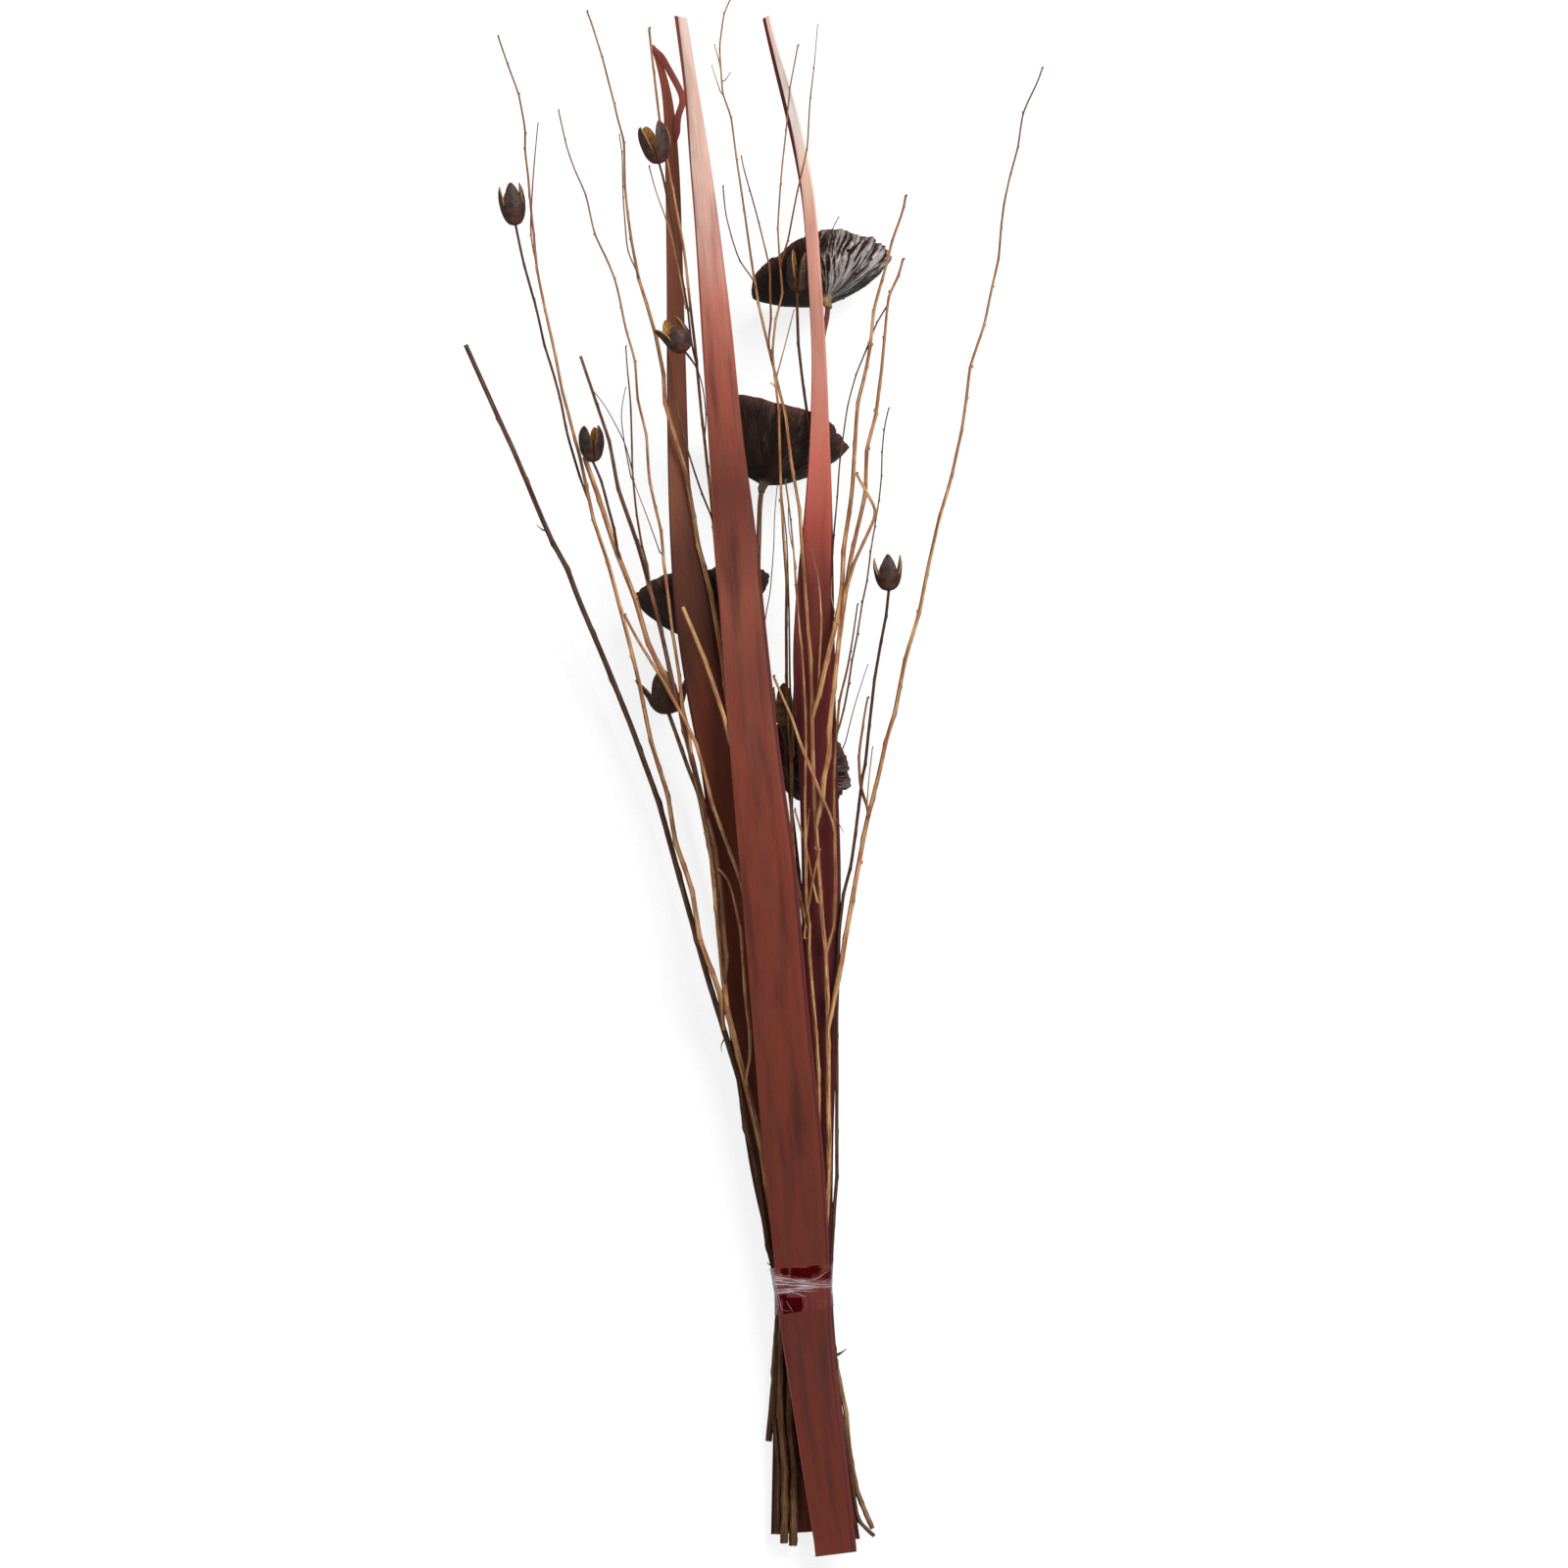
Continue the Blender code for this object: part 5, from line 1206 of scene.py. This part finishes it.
def wrap_film():
    """The band itself. Gives its middle and how far out it lies, for the ropes on it."""
    low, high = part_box("tie_film")
    middle = (low + high) / 2
    turn = np.linspace(-math.pi, math.pi, FILM_ROUND + 1)[:-1]
    aims = circle_of(turn)
    rows, grains, marks, top_reach = [], [], [], []
    for share in np.linspace(-0.5, 0.5, FILM_LONG):
        level = FILM_BOTTOM[0] + (share + 0.5) * (FILM_TOP[0] - FILM_BOTTOM[0])
        reach = film_reach(middle, aims, middle.y + level / 1000)
        flat = np.column_stack([aims * 4, np.full(FILM_ROUND, share * 26)])
        folds = rough(flat, 5) * FILM_FOLDS + rough(flat * (1, 1, 3), 8) * FILM_CREASES
        here = reach + folds
        x = np.cos(turn) * here
        top, bottom = (height / 1000 + slant * x for height, slant in (FILM_TOP, FILM_BOTTOM))
        edge = FILM_RAGGED * rough(flat * (1, 1, 0), 3) * (abs(share) > 0.42)
        y = middle.y + bottom + (share + 0.5) * (top - bottom) + edge
        rows.append(stacked(middle.x + x, y, middle.z + np.sin(turn) * here))
        along = (y - FILM_KNOT) / np.interp(middle.x + x, *np.array(FILM_SPREAD).T)
        gathered = np.clip((1.25 - np.abs(along)) / 0.4, 0, 1)
        cling = np.clip(0.3 + 0.8 * rough(flat * (0.9, 0.9, 0.1), 14) - 0.6 * gathered, 0, 1)
        for left, right, bottom_edge, top_edge in FILM_CLINGS:
            across, up = (middle.x + x) * 1000, y * 1000
            inside = np.min([across - left, right - across, up - bottom_edge, top_edge - up], axis=0)
            cling = np.maximum(cling, np.clip(0.5 + inside, 0, 1) * (np.sin(turn) > 0))
        grains.append(stacked(x, along * 0.01, 0))
        marks.append(stacked(cling, gathered, 0))
        top_reach.append(reach)
    outside = np.array(rows)
    inward = (middle.x, 0, middle.z) - outside * (1, 0, 1)
    inward /= np.linalg.norm(inward, axis=2)[..., None]
    loop = np.concatenate([outside, (outside + inward * FILM_THICK)[::-1], outside[:1]], axis=0)
    grain, mark = (np.concatenate([part, part[::-1], part[:1]], axis=0)
                   for part in (np.array(grains), np.array(marks)))
    growth = Growth()
    growth.skin(loop, grain, np.zeros(len(loop)), mark, capped=False)
    growth.finish("clear_film_wrap", film(), "film", "tie_film")
    return middle, turn, np.array(top_reach).max(axis=0)


ROPE_STEP = 0.0007
ROPE_SIDES = 6
ROPE_SHARE = 0.42
ROPE_LIFT = 0.0001
ROPE_ENDS = 8
# Ropes of gathered film: thickness and the points each runs through (mm).
ROPES = [
    (0.3, [(40.9, -391.5), (46.6, -392.1), (54.2, -393), (60.6, -392.5)]),
    (0.2, [(44.7, -389.7), (50.4, -387.3), (56.1, -383.9), (58.7, -382.4)]),
    (0.2, [(52.3, -391.5), (58.7, -388.3)]),
    (0.2, [(14.6, -386.2), (24.5, -387.7), (33.3, -389.7), (42.8, -391.5)]),
    (0.24, [(20.7, -392.5), (29.5, -393.5), (39, -393.8), (46.6, -393.5)]),
    (0.18, [(16.2, -387.7), (21.9, -388.3), (28.3, -388.3)]),
    (0.24, [(23.8, -396), (31.4, -399.1), (38, -401.4), (40.9, -402.5)]),
    (0.18, [(22.8, -396.8), (33.3, -395.9), (42.8, -396.8), (50.4, -393.8)]),
    (0.16, [(24.5, -398.7), (34.2, -397.6), (43.5, -398.3), (50.4, -397.6)]),
    (0.2, [(15.7, -386.2), (16.9, -394.9), (18.4, -404.4), (19.5, -412)]),
    (0.16, [(17, -389), (18.6, -397), (20.4, -406), (22, -413)]),
    (0.14, [(25.2, -405.2), (28.3, -410.1), (31.4, -415)]),
    (0.14, [(21.9, -412.9), (29, -413.4)]),
    (0.16, [(15.5, -390), (27, -390.8), (38, -391.5), (50, -393.6)]),
]


def rope_film(middle, turn, reach):
    """Fine white ropes of gathered film, which lie across the front of the band."""
    finish = Finish("film ropes", 0.35, 0.5)
    ropes = finish.wear(finish.mix(finish.fibre, (0.72, 0.66, 0.66), (0.92, 0.9, 0.9)), finish.fibre, 0.0002)
    top = turn > 0
    order = np.argsort(np.cos(turn[top]) * reach[top])
    across = (np.cos(turn[top]) * reach[top])[order]
    height = (np.sin(turn[top]) * reach[top])[order]
    growth = Growth()
    for number, (thick, route) in enumerate(ROPES):
        plan = np.array(route) / 1000
        steps = np.arange(0, along_of(plan)[-1], ROPE_STEP)
        x, y = at_steps(plan, steps).T
        place = stacked(steps * 260, number * 3, 0)
        y = y + rough(place, number) * 0.0006 + rough(place * 3, number + 5) * 0.00015
        z = middle.z + np.interp(x - middle.x, across, height) + ROPE_LIFT
        radii = ROPE_SHARE * thick / 1000 * (1 + 0.3 * rough(place * 2, number + 9))
        radii *= np.clip(np.minimum(np.arange(len(x)), np.arange(len(x))[::-1]) / ROPE_ENDS + 0.2, 0, 1)
        growth.tube(stacked(x, y, z), radii, ROPE_SIDES, np.zeros(len(x)))
    growth.finish("film_ropes", ropes, "film")


rope_film(*wrap_film())


# ------------------------------------------------------------------------------------------------
# SURFACE, LIGHT AND CAMERA
# The bunch lies on a plain white floor in even light from large lamps. The camera looks straight
# down on it through a long lens.

FLOOR_SIZE = 60.0
VIEW_WIDTH = 1.216
CAMERA_HEIGHT = 25.0
SKY_LIGHT = 0.33
FLOOR_DROP = -0.0005
FLOOR_GREY = (0.3, 0.3, 0.3, 1)
FLOOR_GLOW = 0.8
SENSOR = 36
# name: where it hangs (m), its width (m) and its power (W)
LAMPS = {"window": ((3.0, 3.2, 5.2), 3.6, 400), "fill": ((-3.4, 0.6, 4.4), 3.0, 30)}
AIM = Vector((0, 0.1, 0))


def shows_white(tree, shader, strength):
    """Adds plain white for the camera and for what it sees through clear film."""
    path = put(tree, "ShaderNodeLightPath")
    seen = worked(tree, "MAXIMUM", path.outputs["Is Camera Ray"], path.outputs["Is Transmission Ray"])
    level = worked(tree, "MULTIPLY", seen, strength)
    glow = put(tree, "ShaderNodeEmission", {"Color": (1, 1, 1, 1), "Strength": level})
    return put(tree, "ShaderNodeAddShader", {0: shader, 1: glow.outputs[0]}).outputs[0]


def lay_floor():
    """The white surface just under the bunch, which keeps its faint shadow."""
    mesh = bpy.data.meshes.new("floor")
    half = FLOOR_SIZE / 2
    corners = [(-half, -half, 0), (half, -half, 0), (half, half, 0), (-half, half, 0)]
    mesh.from_pydata(corners, [], [(0, 1, 2, 3)])
    material = bpy.data.materials.new("white floor")
    material.use_nodes = True
    tree = material.node_tree
    surface = tree.nodes["Principled BSDF"]
    surface.inputs["Base Color"].default_value = FLOOR_GREY
    surface.inputs["Roughness"].default_value = 1.0
    surface.inputs["Specular IOR Level"].default_value = 0.0
    white = shows_white(tree, surface.outputs[0], FLOOR_GLOW)
    tree.links.new(white, tree.nodes["Material Output"].inputs["Surface"])
    mesh.materials.append(material)
    floor = set_down("floor", mesh, (0, 0, FLOOR_DROP))


def light_room():
    """Even light from all round, a large lamp like a window and a small one opposite it."""
    world = bpy.data.worlds.new("room")
    bpy.context.scene.world = world
    world.use_nodes = True
    tree = world.node_tree
    plain = tree.nodes["Background"]
    plain.inputs["Color"].default_value = (1, 1, 1, 1)
    plain.inputs["Strength"].default_value = SKY_LIGHT
    white = shows_white(tree, plain.outputs[0], 1 - SKY_LIGHT)
    tree.links.new(white, tree.nodes["World Output"].inputs["Surface"])
    for name, (place, size, watts) in LAMPS.items():
        lamp = bpy.data.lights.new(name, "AREA")
        lamp.shape = "DISK"
        lamp.size = size
        lamp.energy = watts
        holder = set_down(name, lamp, place)
        holder.rotation_euler = (AIM - Vector(place)).to_track_quat("-Z", "Y").to_euler()


def set_camera():
    """A long lens straight above the bunch."""
    lens = bpy.data.cameras.new("camera")
    lens.sensor_width = SENSOR
    lens.lens = SENSOR * CAMERA_HEIGHT / VIEW_WIDTH
    lens.clip_end = 200
    camera = set_down("camera", lens)
    camera.location = (0.0238, -0.0054, CAMERA_HEIGHT)
    bpy.context.scene.camera = camera


lay_floor()
light_room()
set_camera()
bpy.context.scene.view_settings.view_transform = "Standard"
